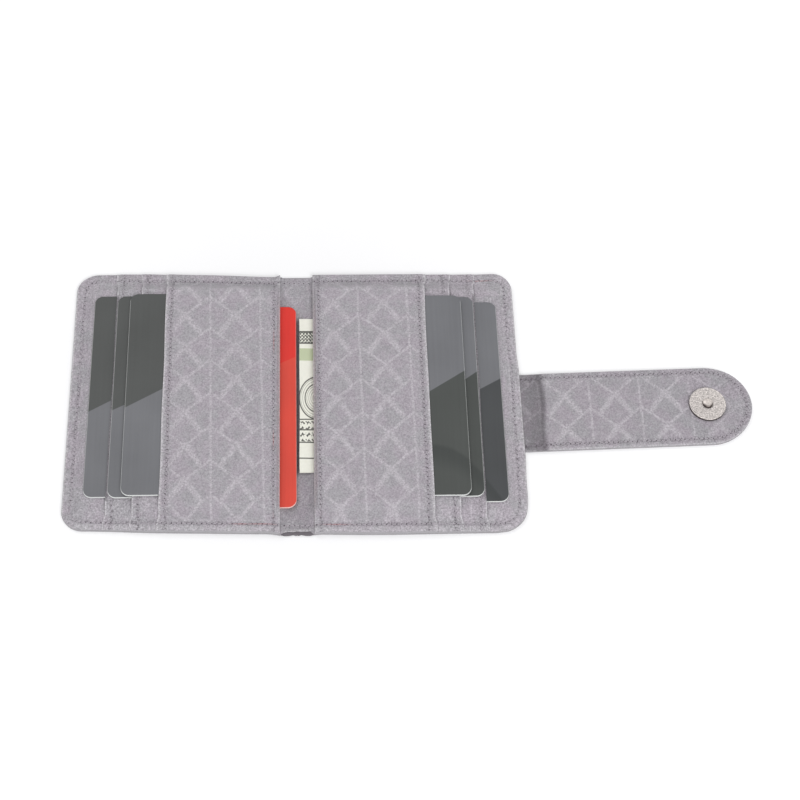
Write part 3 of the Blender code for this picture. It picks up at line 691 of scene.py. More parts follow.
def beaded(name, path, outward, low, high, width, material, body):
    """A bead along a path: a flattened oval from low to high, with its width pointing outward.

    At an angle t round it the bead reaches width * cos(t)^0.7 out and stands (1 + sin(t)^0.8) / 2 of
    its height up, where both powers keep the sign.
    """
    angle = np.radians(np.arange(0, 360, 30))
    out = np.sign(np.cos(angle)) * np.abs(np.cos(angle)) ** 0.7 * width
    rise = (1 + np.sign(np.sin(angle)) * np.abs(np.sin(angle)) ** 0.8) / 2
    rings = np.empty((len(path), len(angle), 3))
    rings[..., :2] = path[:, None] + outward[:, None] * out[None, :, None]
    rings[..., 2] = low[:, None] + (high - low)[:, None] * rise
    rings = as_laid(rings)
    index = np.arange(rings.shape[0] * rings.shape[1]).reshape(rings.shape[:2])
    skin = grid_faces(np.concatenate([index, index[:, :1]], axis=1))
    return solid(name, rings, [skin, index[:1, ::-1], index[-1:]], material, body)


def panel_rim(inset, step=0.5):
    """Points and outward directions along a panel's outline, from its mouth's back end to the front end.

    The points are a step apart on the straights and about as close round the corners.
    """
    radius = corner_radius - inset
    angle = np.radians(np.arange(90, -0.1, -step * 50 / max(radius, 1)))
    angle[-1] = 0
    straight = np.arange(mouth_edge + 0.05, outer_edge - corner_radius, step)
    back = np.stack([straight, 0 * straight + half_depth - inset], axis=-1)
    centre = np.array([outer_edge - corner_radius, half_depth - corner_radius])
    bend = centre + radius * np.stack([np.cos(angle), np.sin(angle)], axis=-1)
    edge_y = np.arange(half_depth - corner_radius - step, step / 4, -step)
    side_run = np.stack([0 * edge_y + outer_edge - inset, edge_y], axis=-1)
    half = np.concatenate([back, bend, side_run])
    out = np.concatenate([0 * back + [0, 1], (bend - centre) / radius, 0 * side_run + [1, 0]])
    flip = np.array([1, -1])
    return np.concatenate([half, half[::-1] * flip]), np.concatenate([out, out[::-1] * flip])


def top_at(u, y):
    """Height of the topmost leather at a point of a panel, stepping down past each pocket's edge."""
    height = laid("slot_backing", u, y)[1]
    for name in ("pocket_1", "pocket_2", "top_pocket"):
        over = laid(name, u, y)[1]
        height = height + (over - height) * ease(u, pocket_edge[name] + 0.3, pocket_edge[name] - 0.3)
    return height


lacquer, tree, shader = finish("edge_lacquer", 0.42, Specular_IOR_Level=0.45)
skin = use(tree, grain, Pebble=0.5)
height = node(tree, "SeparateXYZ", {0: node(tree, "TexCoord").outputs["Object"]}).outputs[2]
joint_line = maths(tree, "MULTIPLY", stepped(tree, height, 0.8 * mm, 1.0 * mm),
                   stepped(tree, height, 1.3 * mm, 1.1 * mm))
layers = blended(tree, maths(tree, "MULTIPLY", joint_line, 0.6), paint(172, 169, 173), bare_edge)
tree.links.new(toned(tree, layers, skin["Tone"], skin["Cloud"], 0.14, 0.05), shader.inputs["Base Color"])
raised(tree, shader, skin["Height"], 0.02 * mm)
for side_name, side in sides.items():
    rim_path, outward = panel_rim(0.0)
    tops = top_at(rim_path[:, 0], np.sign(rim_path[:, 1]) * half_depth)
    mirror = np.array([side, 1])
    made = beaded(side_name + "_edge_lacquer", rim_path * mirror, outward * mirror, 0 * tops + bead_start,
                  tops + bead_over, bead_width, lacquer, side_name + "_panel")

# Stitching: one waxed grey thread, sewn by machine with a stitch every 1.8 mm. Each stitch dips into
# a needle hole at both ends, every second one small. Some near the corners have picked up a little red.
stitch_length, thread_half = 1.8, 0.2
red_spots = np.array([(-13, -52, 5), (-20, -52, 3), (14, -52, 4), (72, 52, 4), (-8.5, 22, 4), (-8.5, -20, 3)])


def redness(points):
    """1 near one of the stained spots, given as x, y and reach, and 0 away from them all."""
    apart = points.reshape(-1, 1, 3)[..., :2] - red_spots[:, :2]
    return np.exp(-(np.hypot(apart[..., 0], apart[..., 1]) / red_spots[:, 2]) ** 2).max(axis=-1)


def sew(name, path, thread, body=None):
    """Stitches and needle holes along a path of points on the leather.

    A stitch is a tube of six-sided rings. At a share s of its length its middle line stands
    0.10 * sin(pi * s)^0.6 - 0.06 mm over the leather, and it slants by 0.22 * (s - 0.5) mm. A hole is
    a flat dark bead, eight-sided, between two stitches, whose dark colour is painted shade of the hole.
    """
    path = as_laid(path)
    along = np.concatenate([[0], np.cumsum(np.linalg.norm(np.diff(path[:, :2], axis=0), axis=1))])
    holes_at = np.linspace(0, along[-1], int(round(along[-1] / stitch_length)) + 1)

    def on_path(s):
        return np.stack([np.interp(s, along, path[:, k]) for k in range(3)], axis=-1)

    share = np.array([0.09, 0.14, 0.24, 0.5, 0.76, 0.86, 0.91])
    s = holes_at[:-1, None] + share * np.diff(holes_at)[:, None]
    middle = on_path(s)
    heading = on_path(s + 0.05) - on_path(s - 0.05)
    heading /= np.linalg.norm(heading, axis=-1, keepdims=True)
    beside = np.stack([-heading[..., 1], heading[..., 0], 0 * heading[..., 0]], axis=-1)
    middle = middle + beside * (0.22 * (share - 0.5))[:, None]
    middle[..., 2] += 0.10 * np.sin(np.pi * share) ** 0.6 - 0.06
    angle = np.radians(np.arange(0, 360, 60))
    fat = thread_half * np.array([0.45, 0.85, 1, 1, 1, 0.85, 0.45])[:, None]
    rings = middle[..., None, :] + beside[..., None, :] * (fat * np.cos(angle))[..., None]
    rings[..., 2] += 0.7 * fat * np.sin(angle)
    count, rows, sides = rings.shape[:3]
    index = np.arange(count * rows * sides).reshape(count, rows, sides)
    wrapped = np.concatenate([index, index[..., :1]], axis=-1)
    skin = np.stack([wrapped[:, :-1, :-1], wrapped[:, 1:, :-1], wrapped[:, 1:, 1:], wrapped[:, :-1, 1:]],
                    axis=-1).reshape(-1, 4)
    stitches = solid(name + "_stitches", rings, [skin, index[:, 0, ::-1], index[:, -1]], thread, body,
                     stain=redness(rings))
    angle = np.radians(np.arange(0, 360, 45))
    centre, heading = on_path(holes_at), on_path(holes_at + 0.05) - on_path(holes_at - 0.05)
    heading /= np.linalg.norm(heading, axis=-1, keepdims=True)
    beside = np.stack([-heading[:, 1], heading[:, 0], 0 * heading[:, 0]], axis=-1)
    size = np.where(np.arange(len(holes_at)) % 2, 0.62, 1.0)[:, None, None]
    ring = (centre[:, None] + heading[:, None] * 0.35 * size * np.cos(angle)[:, None]
            + beside[:, None] * 0.26 * size * np.sin(angle)[:, None])
    ring[..., 2] += 0.03
    tips = np.stack([centre + [0, 0, 0.06], centre - [0, 0, 0.12]], axis=1)
    bead = np.concatenate([ring, tips], axis=1)
    index = np.arange(len(bead) * 10).reshape(-1, 10)
    step = np.arange(8)
    top = np.stack([index[:, step], index[:, (step + 1) % 8], np.repeat(index[:, 8:9], 8, 1)], axis=-1)
    under = np.stack([index[:, (step + 1) % 8], index[:, step], np.repeat(index[:, 9:10], 8, 1)], axis=-1)
    holes = solid(name + "_holes", bead, [top.reshape(-1, 3), under.reshape(-1, 3)], hole_shade, body,
                  stain=redness(bead))
    return stitches, holes


def thread_finish(name, colour, stained, roughness):
    """Waxed thread, or the painted shade of a needle hole, redder where the mark stain says."""
    made, tree, shader = finish(name, roughness, Specular_IOR_Level=0.3)
    stain = node(tree, "Attribute", attribute_name="stain").outputs["Fac"]
    place = node(tree, "TexCoord").outputs["Object"]
    fuzz = node(tree, "TexNoise", {"Vector": place, "Scale": 2600.0, "Detail": 3.0}).outputs[0]
    dye = blended(tree, maths(tree, "MULTIPLY", stain, 0.6), colour, stained)
    tree.links.new(toned(tree, dye, fuzz, fuzz, 0.12, 0.0), shader.inputs["Base Color"])
    twist = node(tree, "TexWave", {"Vector": place, "Scale": 700.0, "Distortion": 2.0},
                 bands_direction="DIAGONAL").outputs["Fac"]
    raised(tree, shader, twist, 0.04 * mm)
    return made


grey_thread = thread_finish("grey_thread", paint(172, 166, 173), paint(190, 138, 138), 0.55)
shaded_thread = thread_finish("shaded_thread", paint(128, 122, 129), paint(190, 138, 138), 0.6)
# Needle holes: a dark bead of painted shade stands for the shade inside each hole.
hole_shade = thread_finish("hole_shade", paint(90, 83, 90), paint(112, 50, 58), 0.9)
rim_sink, seam_sink, seam_clear, spine_seam_z = 0.06, 0.07, 2.2, 1.17

for side_name, side in sides.items():
    body, mirror = side_name + "_panel", np.array([side, 1, 1])
    rim_path, _ = panel_rim(rim_inset, 0.4)
    height = top_at(rim_path[:, 0], rim_path[:, 1]) - rim_sink
    run = np.column_stack([rim_path, height])[2:-2] * mirror
    made, _ = sew(side_name + "_rim", run, grey_thread, body)
    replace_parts(made, side_name + "_edge_thread")
    y = np.arange(-seam_y + seam_clear, seam_y - seam_clear + 0.1, 0.4)
    for name in ("pocket_1", "pocket_2", "top_pocket", "mouth"):
        sheet_name = "top_pocket" if name == "mouth" else name
        seam_u = mouth_seam if name == "mouth" else pocket_edge[name] - seam_inset
        height = laid(sheet_name, 0 * y + seam_u, y)[1] - seam_sink
        run = np.column_stack([0 * y + seam_u, y, height]) * mirror
        made, _ = sew(side_name + "_" + name, run, grey_thread, body)
        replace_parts(made, side_name + "_" + name + "_thread")
x = np.arange(-4.6, 4.7, 0.3)
for end_name, y in (("front", -seam_y + 0.6), ("back", seam_y)):
    run = np.column_stack([x, 0 * x + y, 0 * x + spine_seam_z])
    made, _ = sew("spine_" + end_name, run, grey_thread, "spine")
    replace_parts(made, "spine_thread_" + end_name)

# Six grey plastic cards, stamped from white stock and printed on their faces in two greys that meet
# along a slanting line. They lie loose in the slots, so each sits a little off the middle.
card_corner = 3.2


def plastic_card(name, ink):
    """A card of the frame: a profile of (outward, height) pairs carried round its outline.

    The outline is a rectangle with quarter circles for corners. The profile runs from the middle of
    the lower face round the edge to the upper face. The edge mark, up to 1, is the white stock on the
    edge, whiter on its front and back than on its sides, and a painted highlight on a hair's breadth
    of the upper face by the front.
    """
    (low_x, low_y, floor), (high_x, high_y, top) = box(name)
    quarter = np.radians(np.linspace(0, 90, 15))
    angle = np.concatenate([quarter + k * np.pi / 2 for k in range(4)])
    outward = np.stack([np.cos(angle), np.sin(angle)], axis=-1)
    left, right = low_x + card_corner, high_x - card_corner
    front, back = low_y + card_corner, high_y - card_corner
    centre = np.repeat([(right, back), (left, back), (left, front), (right, front)], 15, axis=0)
    profile = np.array([(-0.6, floor), (-0.1, floor), (-0.03, floor + 0.03), (0, floor + 0.1), (0, top - 0.1),
                        (-0.03, top - 0.03), (-0.1, top), (-0.15, top), (-0.22, top), (-0.6, top)])
    rings = np.empty((len(profile), len(angle), 3))
    rings[..., :2] = centre + card_corner * outward + outward * profile[:, 0, None, None]
    rings[..., 2] = profile[:, 1, None]
    index = np.arange(rings.shape[0] * rings.shape[1]).reshape(rings.shape[:2])
    skin = grid_faces(np.concatenate([index, index[:, :1]], axis=1))
    # Edge mark: white stock on the edge, and painted highlight on the upper face by the front.
    by_edge = np.clip(0.22 - np.abs(profile[:, 0]), 0, 0.07) / 0.07
    facing = np.clip(0.35 * np.abs(outward[:, 0]) - outward[:, 1], 0, 1)
    bare = np.where(profile[:, :1] > -0.02, 0.45 + 0.55 * np.abs(outward[:, 1]), by_edge[:, None] * facing)
    made = solid(name + "_plastic", rings, [skin, index[:1, ::-1], index[-1:]], ink, name, bare=bare)
    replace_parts(made, name)


def card_print(name, start, end, above_line, below_line, stock, gloss=0.36, arched=0.0):
    """Card print: one colour above and one below the line from start to end, white stock and painted
    highlight at the edges.

    Where arched is more than 0, the lower colour is darker by that strength in an arc. It
    is the band under y = -22 - 0.034 * (x - 49.5)^2, in millimetres.
    """
    made, tree, shader = finish(name, gloss, Specular_IOR_Level=0.4)
    place = node(tree, "TexCoord").outputs["Object"]
    spot = node(tree, "SeparateXYZ", {0: place}).outputs
    rise = (end[1] - start[1]) / (end[0] - start[0])
    line = maths(tree, "MULTIPLY_ADD", spot[0], rise, (start[1] - rise * start[0]) * mm)
    over = stepped(tree, maths(tree, "SUBTRACT", spot[1], line), -0.12 * mm, 0.12 * mm)
    past = maths(tree, "SUBTRACT", spot[0], 49.5 * mm)
    arc = maths(tree, "MULTIPLY_ADD", maths(tree, "MULTIPLY", past, past), -34.0, -22.0 * mm)
    below_arc = maths(tree, "SUBTRACT", arc, spot[1])
    band = maths(tree, "MULTIPLY", stepped(tree, below_arc, -0.6 * mm, 1.6 * mm, 0.0, arched),
                 stepped(tree, below_arc, 12 * mm, 3 * mm))
    lower_colour = blended(tree, band, below_line, paint(44, 48, 47))
    ink = blended(tree, over, lower_colour, above_line)
    streaks = node(tree, "Mapping", {"Vector": place, "Scale": (900.0, 22.0, 1.0)}).outputs[0]
    lines = node(tree, "TexNoise", {"Vector": streaks, "Scale": 1.0, "Detail": 3.0}).outputs[0]
    cloud = node(tree, "TexNoise", {"Vector": place, "Scale": 42.0, "Detail": 2.0}).outputs[0]
    ink = toned(tree, ink, lines, cloud, 0.035, 0.08)
    # White stock and painted highlight at the edges, by the edge mark.
    bare = node(tree, "Attribute", attribute_name="bare").outputs["Fac"]
    tree.links.new(blended(tree, bare, ink, stock), shader.inputs["Base Color"])
    scuffs = node(tree, "TexNoise", {"Vector": place, "Scale": 1500.0, "Detail": 3.0}).outputs[0]
    tree.links.new(stepped(tree, scuffs, 0.2, 0.8, gloss + 0.12, gloss - 0.05), shader.inputs["Roughness"])
    return made


white_stock = paint(226, 228, 227)
dark_grey, light_grey, lit_grey = paint(69, 71, 70), paint(107, 108, 112), paint(111, 112, 116)
card_rows = {
    "left_card_1": ((-77.33, -6.13), (-69.14, -1.36), dark_grey, light_grey),
    "left_card_2": ((-66.93, -5.57), (-63.71, -3.92), dark_grey, light_grey),
    "left_card_3": ((-63.11, -5.78), (-49.12, 2.33), dark_grey, light_grey),
    "right_card_1": ((69.68, 2.8), (77.53, 7.28), lit_grey, paint(64, 66, 68)),
    "right_card_2": ((62.91, 5.5), (68.82, 9.8), lit_grey, paint(64, 67, 65)),
    "right_card_3": ((49.77, 0.06), (62.18, 8.14), lit_grey, paint(68, 71, 69)),
}
for name, (start, end, upper_ink, lower_ink) in card_rows.items():
    ink = card_print(name + "_print", start, end, upper_ink, lower_ink, white_stock,
                     arched=0.55 * name.startswith("right"))
    plastic_card(name, ink)

# Red card in the left hidden pocket: the same plastic, printed in two reds that meet along a slanting
# line. It reaches over the gutter, and its white stock looks pink under the print at its edge.
red_print = card_print("red_card_print", (-5.89, 15.14), (-0.6, 17.73), paint(218, 46, 36),
                       paint(215, 70, 54), paint(244, 206, 200), 0.4)
plastic_card("red_card", red_print)

# Banknote, folded once and pushed fold first into the right hidden pocket. The paper is a little
# wavy. Its print is plain engraver's work: bands, ovals and ruled boxes.
note_leaf, note_gap = 0.12, 0.12
outer_reach, inner_reach = note_leaf + note_gap / 2, note_gap / 2
note_fold_x, middle_z = note_end - outer_reach, note_bottom + outer_reach
note_x = np.concatenate([np.linspace(note_start, 12, 23), np.linspace(14, note_fold_x, 14)])
bend = np.radians(np.linspace(-75, 75, 6))


def folded(reach):
    """One face of the folded paper, reach away from its middle: out, round the fold and back."""
    loop_x = np.concatenate([note_x, note_fold_x + reach * np.cos(bend), note_x[::-1]])
    loop_z = np.concatenate([0 * note_x - reach, reach * np.sin(bend), 0 * note_x + reach])
    return np.stack([loop_x, loop_z + middle_z], axis=-1)


loop = np.concatenate([folded(outer_reach), folded(inner_reach)[::-1]])
y = np.linspace(note_front, note_back, 100)
rings = np.empty((len(y), len(loop), 3))
rings[..., 0], rings[..., 1], rings[..., 2] = loop[:, 0], y[:, None], loop[:, 1]
# By the gutter both leaves wave, the upper one stands off the lower, and their edges run unevenly
wave = 0.16 * (1 + ripple(rings[..., 0], rings[..., 1], 51, 30.0)) * ease(rings[..., 0], 16, 8)
rings[..., 2] += wave + 0.16 * ease(rings[..., 0], 6, 1) * ease(loop[:, 1], middle_z, middle_z + 0.01)
rings[..., 0] += 0.12 * ripple(rings[..., 1], 0 * rings[..., 1], 52, 24.0) * ease(rings[..., 0], 8, 2)
index = np.arange(rings.shape[0] * rings.shape[1]).reshape(rings.shape[:2])
skin = grid_faces(np.concatenate([index, index[:, :1]], axis=1))
half = len(loop) // 2
pair = np.arange(half - 1)
end_cap = np.stack([pair, pair + 1, len(loop) - 2 - pair, len(loop) - 1 - pair], axis=-1)
note_paper, tree, shader = finish("note_paper", 0.8, Specular_IOR_Level=0.2)
place = node(tree, "TexCoord").outputs["Object"]
spot = node(tree, "SeparateXYZ", {0: place}).outputs


def between(tree, value, low, high, blur=0.12):
    """1 where a socket lies between two places in millimetres, 0 outside."""
    up = stepped(tree, value, (low - blur) * mm, (low + blur) * mm)
    return maths(tree, "MULTIPLY", up, stepped(tree, value, (high + blur) * mm, (high - blur) * mm))


def ruled(tree, value, pitch, share):
    """Fine parallel lines along a socket, a pitch in millimetres apart."""
    wave = maths(tree, "PINGPONG", maths(tree, "DIVIDE", value, pitch * mm), 0.5)
    return stepped(tree, wave, share + 0.08, share - 0.08)


def joined(tree, *masks):
    """The strongest of several masks."""
    total = masks[0]
    for mask in masks[1:]:
        total = maths(tree, "MAXIMUM", total, mask)
    return total


# The oval's lines are drawn by the distance from a point by the note's edge, with y squeezed
squeezed = maths(tree, "MULTIPLY", spot[1], 0.72)
from_edge = maths(tree, "SUBTRACT", spot[0], 7.5 * mm)
oval = maths(tree, "SQRT", maths(tree, "ADD", maths(tree, "MULTIPLY", squeezed, squeezed),
                                 maths(tree, "MULTIPLY", from_edge, from_edge)))
sway_x = maths(tree, "SINE", maths(tree, "MULTIPLY", spot[1], 4200.0))
sway_y = maths(tree, "SINE", maths(tree, "MULTIPLY", spot[0], 5200.0))
wavy = maths(tree, "MULTIPLY_ADD", sway_x, 0.35 * mm, spot[0])
crossed = maths(tree, "MULTIPLY_ADD", sway_y, 0.4 * mm, spot[1])
lattice = joined(tree, ruled(tree, crossed, 1.5, 0.22), ruled(tree, wavy, 1.3, 0.18),
                 between(tree, spot[1], 28.6, 29.4), between(tree, spot[1], 23.6, 24.3))
ornament = maths(tree, "MULTIPLY", between(tree, spot[1], 23.6, 29.4), lattice)
oval_lines = maths(tree, "MULTIPLY", between(tree, oval, 0.5, 6.6), ruled(tree, oval, 0.75, 0.13))
oval_rim = joined(tree, between(tree, oval, 6.3, 6.7, 0.08), between(tree, oval, 4.2, 4.5, 0.08))
boxes = joined(tree, *[between(tree, spot[1], low, low + 0.5, 0.1) for low in (-9.4, -13.8, -19.0, -25.6)])
curls = maths(tree, "MULTIPLY", ruled(tree, crossed, 2.6, 0.2), ruled(tree, wavy, 2.1, 0.32))
curls = maths(tree, "MULTIPLY", between(tree, spot[1], -18.4, -10.0), curls)
inside_margin = between(tree, spot[1], note_front + 1.6, note_back - 1.6)
dark_ink = maths(tree, "MULTIPLY", joined(tree, ornament, oval_rim, boxes, curls), inside_margin)
hatched = maths(tree, "MULTIPLY_ADD", ruled(tree, wavy, 0.8, 0.2), 0.4, 0.5)
green_ink = maths(tree, "MULTIPLY", between(tree, spot[1], 16.2, 21.6), hatched)
fibres = node(tree, "TexNoise", {"Vector": place, "Scale": 700.0, "Detail": 4.0}).outputs[0]
paper = blended(tree, fibres, paint(232, 232, 220), paint(246, 246, 236))
paper = blended(tree, green_ink, paper, paint(168, 184, 132))
paper = blended(tree, maths(tree, "MULTIPLY", oval_lines, 0.6), paper, paint(112, 116, 106))
paper = blended(tree, maths(tree, "MULTIPLY", dark_ink, 0.9), paper, paint(58, 60, 57))
tree.links.new(paper, shader.inputs["Base Color"])
rough = node(tree, "TexNoise", {"Vector": place, "Scale": 900.0, "Detail": 4.0}).outputs[0]
raised(tree, shader, rough, 0.03 * mm)
made = solid("folded_banknote", rings, [skin, end_cap + index[0, 0], (end_cap + index[-1, 0])[:, ::-1]],
             note_paper, "banknote")
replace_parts(made, "banknote")

# Closing strap: printed leather over a thin core, on plain leather, sewn together 2 mm from the edge.
# It comes out from under the panel's rim, sags to a crease, and rises to its full thickness. It is
# made in two lengths that meet in the crease.
snap_x, snap_y = centre_of("snap_disc")
strap_reach = round(box("strap_end_outer")[1][0] - snap_x, 2)
strap_half, strap_root, strap_shift, strap_lean = 16.35, 84.56, -6.5, 2.2
strap_fold_x, crease_x, strap_meet, strap_seam, strap_roll = 84.74, 92.2, 93.2, 2.1, 0.5
root_top, full_rise, inner_floor, core_room, outer_thickness = 1.52, 0.48, 0.96, 0.37, 0.94


def strap_middle(x):
    """Middle line of the strap, which leans a little to the back up to the snap, and again past it."""
    lean = strap_lean * np.clip((x - strap_fold_x) / (snap_x - strap_fold_x), -0.1, 1)
    return strap_shift + lean + 0.45 * ease(x, snap_x, 170)


def strap_width_at(x, inset=0.0):
    """Half the strap's width: full up to the snap, then that of half an ellipse about it."""
    past = np.clip((x - snap_x) / (strap_reach - inset), 0, 1)
    return (strap_half - inset) * np.sqrt(1 - past ** 2)


def strap_distance(x, y):
    """Distance from the strap's outline: two straight sides that end in half an ellipse about the snap."""
    round_end = 1 - np.hypot((x - snap_x) / strap_reach, (y - strap_middle(x)) / strap_half)
    return np.where(x > snap_x, round_end * (strap_half + strap_reach) / 2,
                    strap_half - np.abs(y - strap_middle(x)))


def crease_wander(y):
    """How far the crease strays outwards from its straight line, up to half a millimetre."""
    return 0.5 * ripple(0 * y, y, 63, 22.0)


def strap_top(x, y):
    """Height of the strap's upper face: low at its root, a crease, a soft fold beyond it, then level."""
    stray = crease_wander(y)
    folds = 0.26 * bell(x - crease_x - stray, width=1.0) + 0.07 * bell(x - 87.2 + stray, width=0.6)
    return root_top + full_rise * ease(x, 88.0, 95.0) - folds + 0.16 * bell(x - 93.4 - stray, width=1.5)


def bending(piece):
    """Bakes a piece of the strap's placement into its mesh."""
    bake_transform(piece)


strap_prints = printed_leather("strap_print", 0.95, Start=110.45, Knot=0.65, Lean=0.03)
strap_tip = snap_x + strap_reach - 0.02
for length_name, low, high in (("root", strap_root, strap_meet), ("end", strap_meet, strap_tip)):
    fine_x = np.append(stations(low, min(high, snap_x), 0.8, [], 0.1), low + cut)
    if length_name == "end":
        fine_x = np.append(fine_x, snap_x + (high - snap_x) * np.sin(np.radians(np.arange(0, 91, 4))))
    else:
        fine_x = np.append(fine_x, high - cut)
    seam_lines = [strap_seam - strap_half, strap_half - strap_seam]
    fine_share = stations(-strap_half, strap_half, 0.9, seam_lines, strap_roll)
    x, share = np.meshgrid(np.unique(np.round(fine_x, 3)), fine_share / strap_half, indexing="ij")
    y = strap_middle(x) + share * strap_width_at(x)
    from_rim = strap_distance(x, y)
    ends = (x - low) / cut if length_name == "end" else np.minimum(x - low, high - x) / cut
    share = np.minimum(from_rim / strap_roll, ends)
    top = strap_top(x, y)
    floor = inner_floor + ease(from_rim, 2.4, 2.9) * (core_room + 0.07 * ease(x, 88, 95))
    top, under = rounded(floor, np.maximum(top, floor + 0.12), share)
    puff = 0.05 * (1 + ripple(x, y, 61, 18.0)) * ease(from_rim, 3, 6) * ease(x, 100.5, 105)
    wrinkle = 0.06 * ripple(x * 2.2, y * 0.5, 62, 9.0) * (1 - ease(x, 92, 100)) * ease(x, 84.6, 87)
    sewn_down = seam_pull(from_rim - strap_seam)
    top = top + ease(from_rim, 0.3, 0.9) * (puff + np.maximum(wrinkle, -0.03) - sewn_down)
    upper_shape = [np.stack([x, y, z], axis=-1) for z in (top, under)]
    lower_heights = rounded(0 * x, 0 * x + outer_thickness, share)
    lower_shape = [np.stack([x, y, z], axis=-1) for z in lower_heights]
    # The root lies in the shade of the panel's rim, as far as the crease
    past_crease = x - crease_x - crease_wander(y)
    in_shade = ((0.44 + 0.06 * ease(x, 86, 91)) * ease(past_crease, 1.8, -0.4)
                + 0.2 * bell(past_crease, width=1.0))
    made = sheet("strap_" + length_name + "_inner_leather", *upper_shape, strap_prints,
                 clear=(0.35 + 0.65 * ease(from_rim, 2, 5)) * (1 - 0.45 * ease(x, 143, 153)),
                 rim=0.6 * bell(from_rim, width=0.3), seam=bell(from_rim - strap_seam, width=0.7),
                 dim=in_shade)
    lower = sheet("strap_" + length_name + "_outer_leather", *lower_shape, cover_leather, gutter=0 * x)
    for piece in (made, lower):
        bending(piece)
    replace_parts(made, "strap_side_inner", "strap_end_inner")
    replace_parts(lower, "strap_side_outer", "strap_end_outer")

# The strap's seam runs up both sides and round the tip, and is sewn in the same two lengths as the
# leather. The root's thread is darker, as it lies in the shade of the panel's rim.
tip_turn = np.radians(np.arange(-88, 88.1, 2))
for length_name, low, high in (("root", strap_root + 0.5, strap_meet - 0.4),
                               ("end", strap_meet + 1.2, snap_x)):
    x = np.arange(low, high, 0.4)
    lines = [np.stack([x, strap_middle(x) - strap_width_at(x, strap_seam)], axis=-1),
             np.stack([x[::-1], (strap_middle(x) + strap_width_at(x, strap_seam))[::-1]], axis=-1)]
    if length_name == "end":
        x = snap_x + (strap_reach - strap_seam) * np.cos(tip_turn)
        tip = np.stack([x, strap_middle(x) + (strap_half - strap_seam) * np.sin(tip_turn)], axis=-1)
        lines = [np.concatenate([lines[0], tip, lines[1]])]
    for k, line in enumerate(lines):
        suffix = "" if length_name == "end" else ("_front", "_back")[k]
        height = strap_top(line[:, 0], line[:, 1]) - seam_sink
        pieces = sew("strap_" + length_name + suffix, np.column_stack([line, height]),
                     grey_thread if length_name == "end" else shaded_thread)
        for piece in pieces:
            bending(piece)
        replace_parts(pieces[0], "strap_end_thread" if length_name == "end" else "strap_side_thread" + suffix)

# Snap on the strap: a flat disc of blasted nickel with a bright turned rim, and a low polished stud
# riveted through its middle. Painted shade darkens the disc's side and foot and its inner corner by
# the stud, and a painted dark reflection darkens the front of the stud's side.


def nickel_finish(name, colour, roughness, blasted):
    """Nickel plate: its roughness and blasted dimples, darker with painted shade and dark reflection where
    the mark says.
    """
    made, tree, shader = finish(name, roughness, Metallic=1.0)
    place = node(tree, "TexCoord").outputs["Object"]
    sand = node(tree, "TexNoise", {"Vector": place, "Scale": 1900.0, "Detail": 3.0,
                                   "Roughness": 0.7}).outputs[0]
    oxide = node(tree, "Attribute", attribute_name="oxide").outputs["Fac"]
    tone = toned(tree, colour, sand, sand, 0.6 * blasted, 0.0)
    # Painted shade and dark reflection, by the mark.
    tree.links.new(blended(tree, oxide, tone, paint(72, 64, 62)), shader.inputs["Base Color"])
    dull = stepped(tree, sand, 0.3, 0.7, roughness - 0.06, roughness + 0.08)
    tree.links.new(dull, shader.inputs["Roughness"])
    raised(tree, shader, sand, 0.07 * mm * blasted)
    return made


def turned(name, profile, material, oxide):
    """A turned piece of the snap: a profile of (radius, height) pairs spun about its upright middle.

    A profile that starts away from the middle is a ring, and its ends are joined; the ends of any
    other are closed with flat faces.
    """
    profile = np.array(profile, float)
    rings = np.empty((len(profile), round_steps, 3))
    rings[..., :2] = np.array([snap_x, snap_y]) + round_out * profile[:, 0, None, None]
    rings[..., 2] = profile[:, 1, None]
    index = np.arange(rings.shape[0] * rings.shape[1]).reshape(rings.shape[:2])
    closed = np.concatenate([index, index[:, :1]], axis=1)
    ends = [index[:1, ::-1], index[-1:]]
    if profile[0, 0] > 0.5:
        closed, ends = np.concatenate([closed, closed[:1]], axis=0), []
    marks = np.array(oxide, float).reshape(len(profile), -1)
    made = solid(name, rings, [grid_faces(closed), *ends], material, "strap_end",
                 oxide=np.broadcast_to(marks, rings.shape[:2]).copy())
    return made


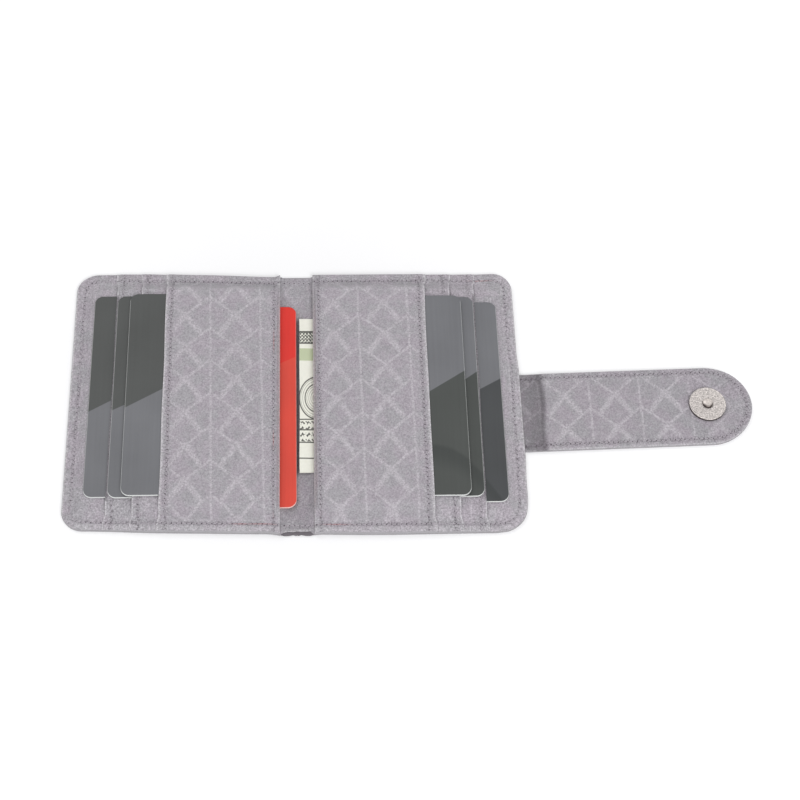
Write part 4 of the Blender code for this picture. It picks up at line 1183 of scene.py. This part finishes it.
blasted_nickel = nickel_finish("blasted_nickel", paint(194, 188, 185), 0.5, 1.0)
bright_nickel = nickel_finish("bright_nickel", paint(212, 204, 199), 0.4, 0.4)
disc = [(1.2, 2.1), (6.6, 2.1), (6.95, 2.16), (7.0, 2.3), (7.0, 2.95), (6.97, 3.12), (6.88, 3.24),
        (6.76, 3.3), (6.64, 3.29), (6.5, 3.24), (6.3, 3.22), (2.4, 3.22), (2.0, 3.2), (1.2, 3.1)]
# Painted shade on the disc's side and foot, where it meets the strap, and at its inner edge by the stud.
disc_oxide = [0.6, 0.9, 0.95, 0.9, 0.75, 0.4, 0, 0, 0, 0, 0, 0, 0.35, 0.8]
stud = [(0.02, 1.0), (1.0, 1.0), (1.0, 3.1), (1.6, 3.12), (1.86, 3.26), (1.95, 3.45), (1.94, 3.62),
        (1.84, 3.8), (1.6, 3.95), (1.2, 4.06), (0.7, 4.12), (0.3, 4.14), (0.02, 4.14)]
# Painted dark reflection and shade on the front of the stud's side and lower dome only.
towards_front = 0.12 + 0.88 * np.clip(0.3 - 1.4 * round_out[:, 1], 0, 1)
stud_oxide = np.array([1, 1, 1, 1, 1, 1, 1, 1, 0.85, 0.25, 0, 0, 0])[:, None] * towards_front
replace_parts(turned("snap_disc_plate", disc, blasted_nickel, disc_oxide), "snap_disc")
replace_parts(turned("snap_stud_dome", stud, bright_nickel, stud_oxide), "snap_stud")

# Other half of the snap, set flush in the back of the left panel: a pressed nickel cup round a ring
# magnet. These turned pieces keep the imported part's shape and only take their metals here.


def refinished(name, material):
    """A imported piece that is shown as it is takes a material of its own."""
    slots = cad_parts[name].data.materials
    slots.clear()
    slots.append(material)


for name in ("socket_cup", "socket_washer", "snap_washer"):
    refinished(name, bright_nickel)
refinished("socket_magnet", nickel_finish("magnet_metal", paint(120, 120, 124), 0.4, 0.5))

# Stiffeners between the leathers: fibre board, pressed from pulp, in the panels and the strap. Its
# strands run outwards from the spine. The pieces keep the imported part's shape.
fibre_board, tree, shader = finish("fibre_board", 0.85, Specular_IOR_Level=0.2)
place = node(tree, "TexCoord").outputs["Object"]
strands = node(tree, "Mapping", {"Vector": place, "Scale": (300.0, 1400.0, 900.0)}).outputs[0]
pulp = node(tree, "TexNoise", {"Vector": strands, "Scale": 1.0, "Detail": 5.0, "Roughness": 0.7}).outputs[0]
tree.links.new(toned(tree, paint(150, 140, 120), pulp, pulp, 0.12, 0.05), shader.inputs["Base Color"])
raised(tree, shader, pulp, 0.05 * mm)
for name in ("left_board", "right_board", "strap_side_core", "strap_end_core"):
    refinished(name, fibre_board)
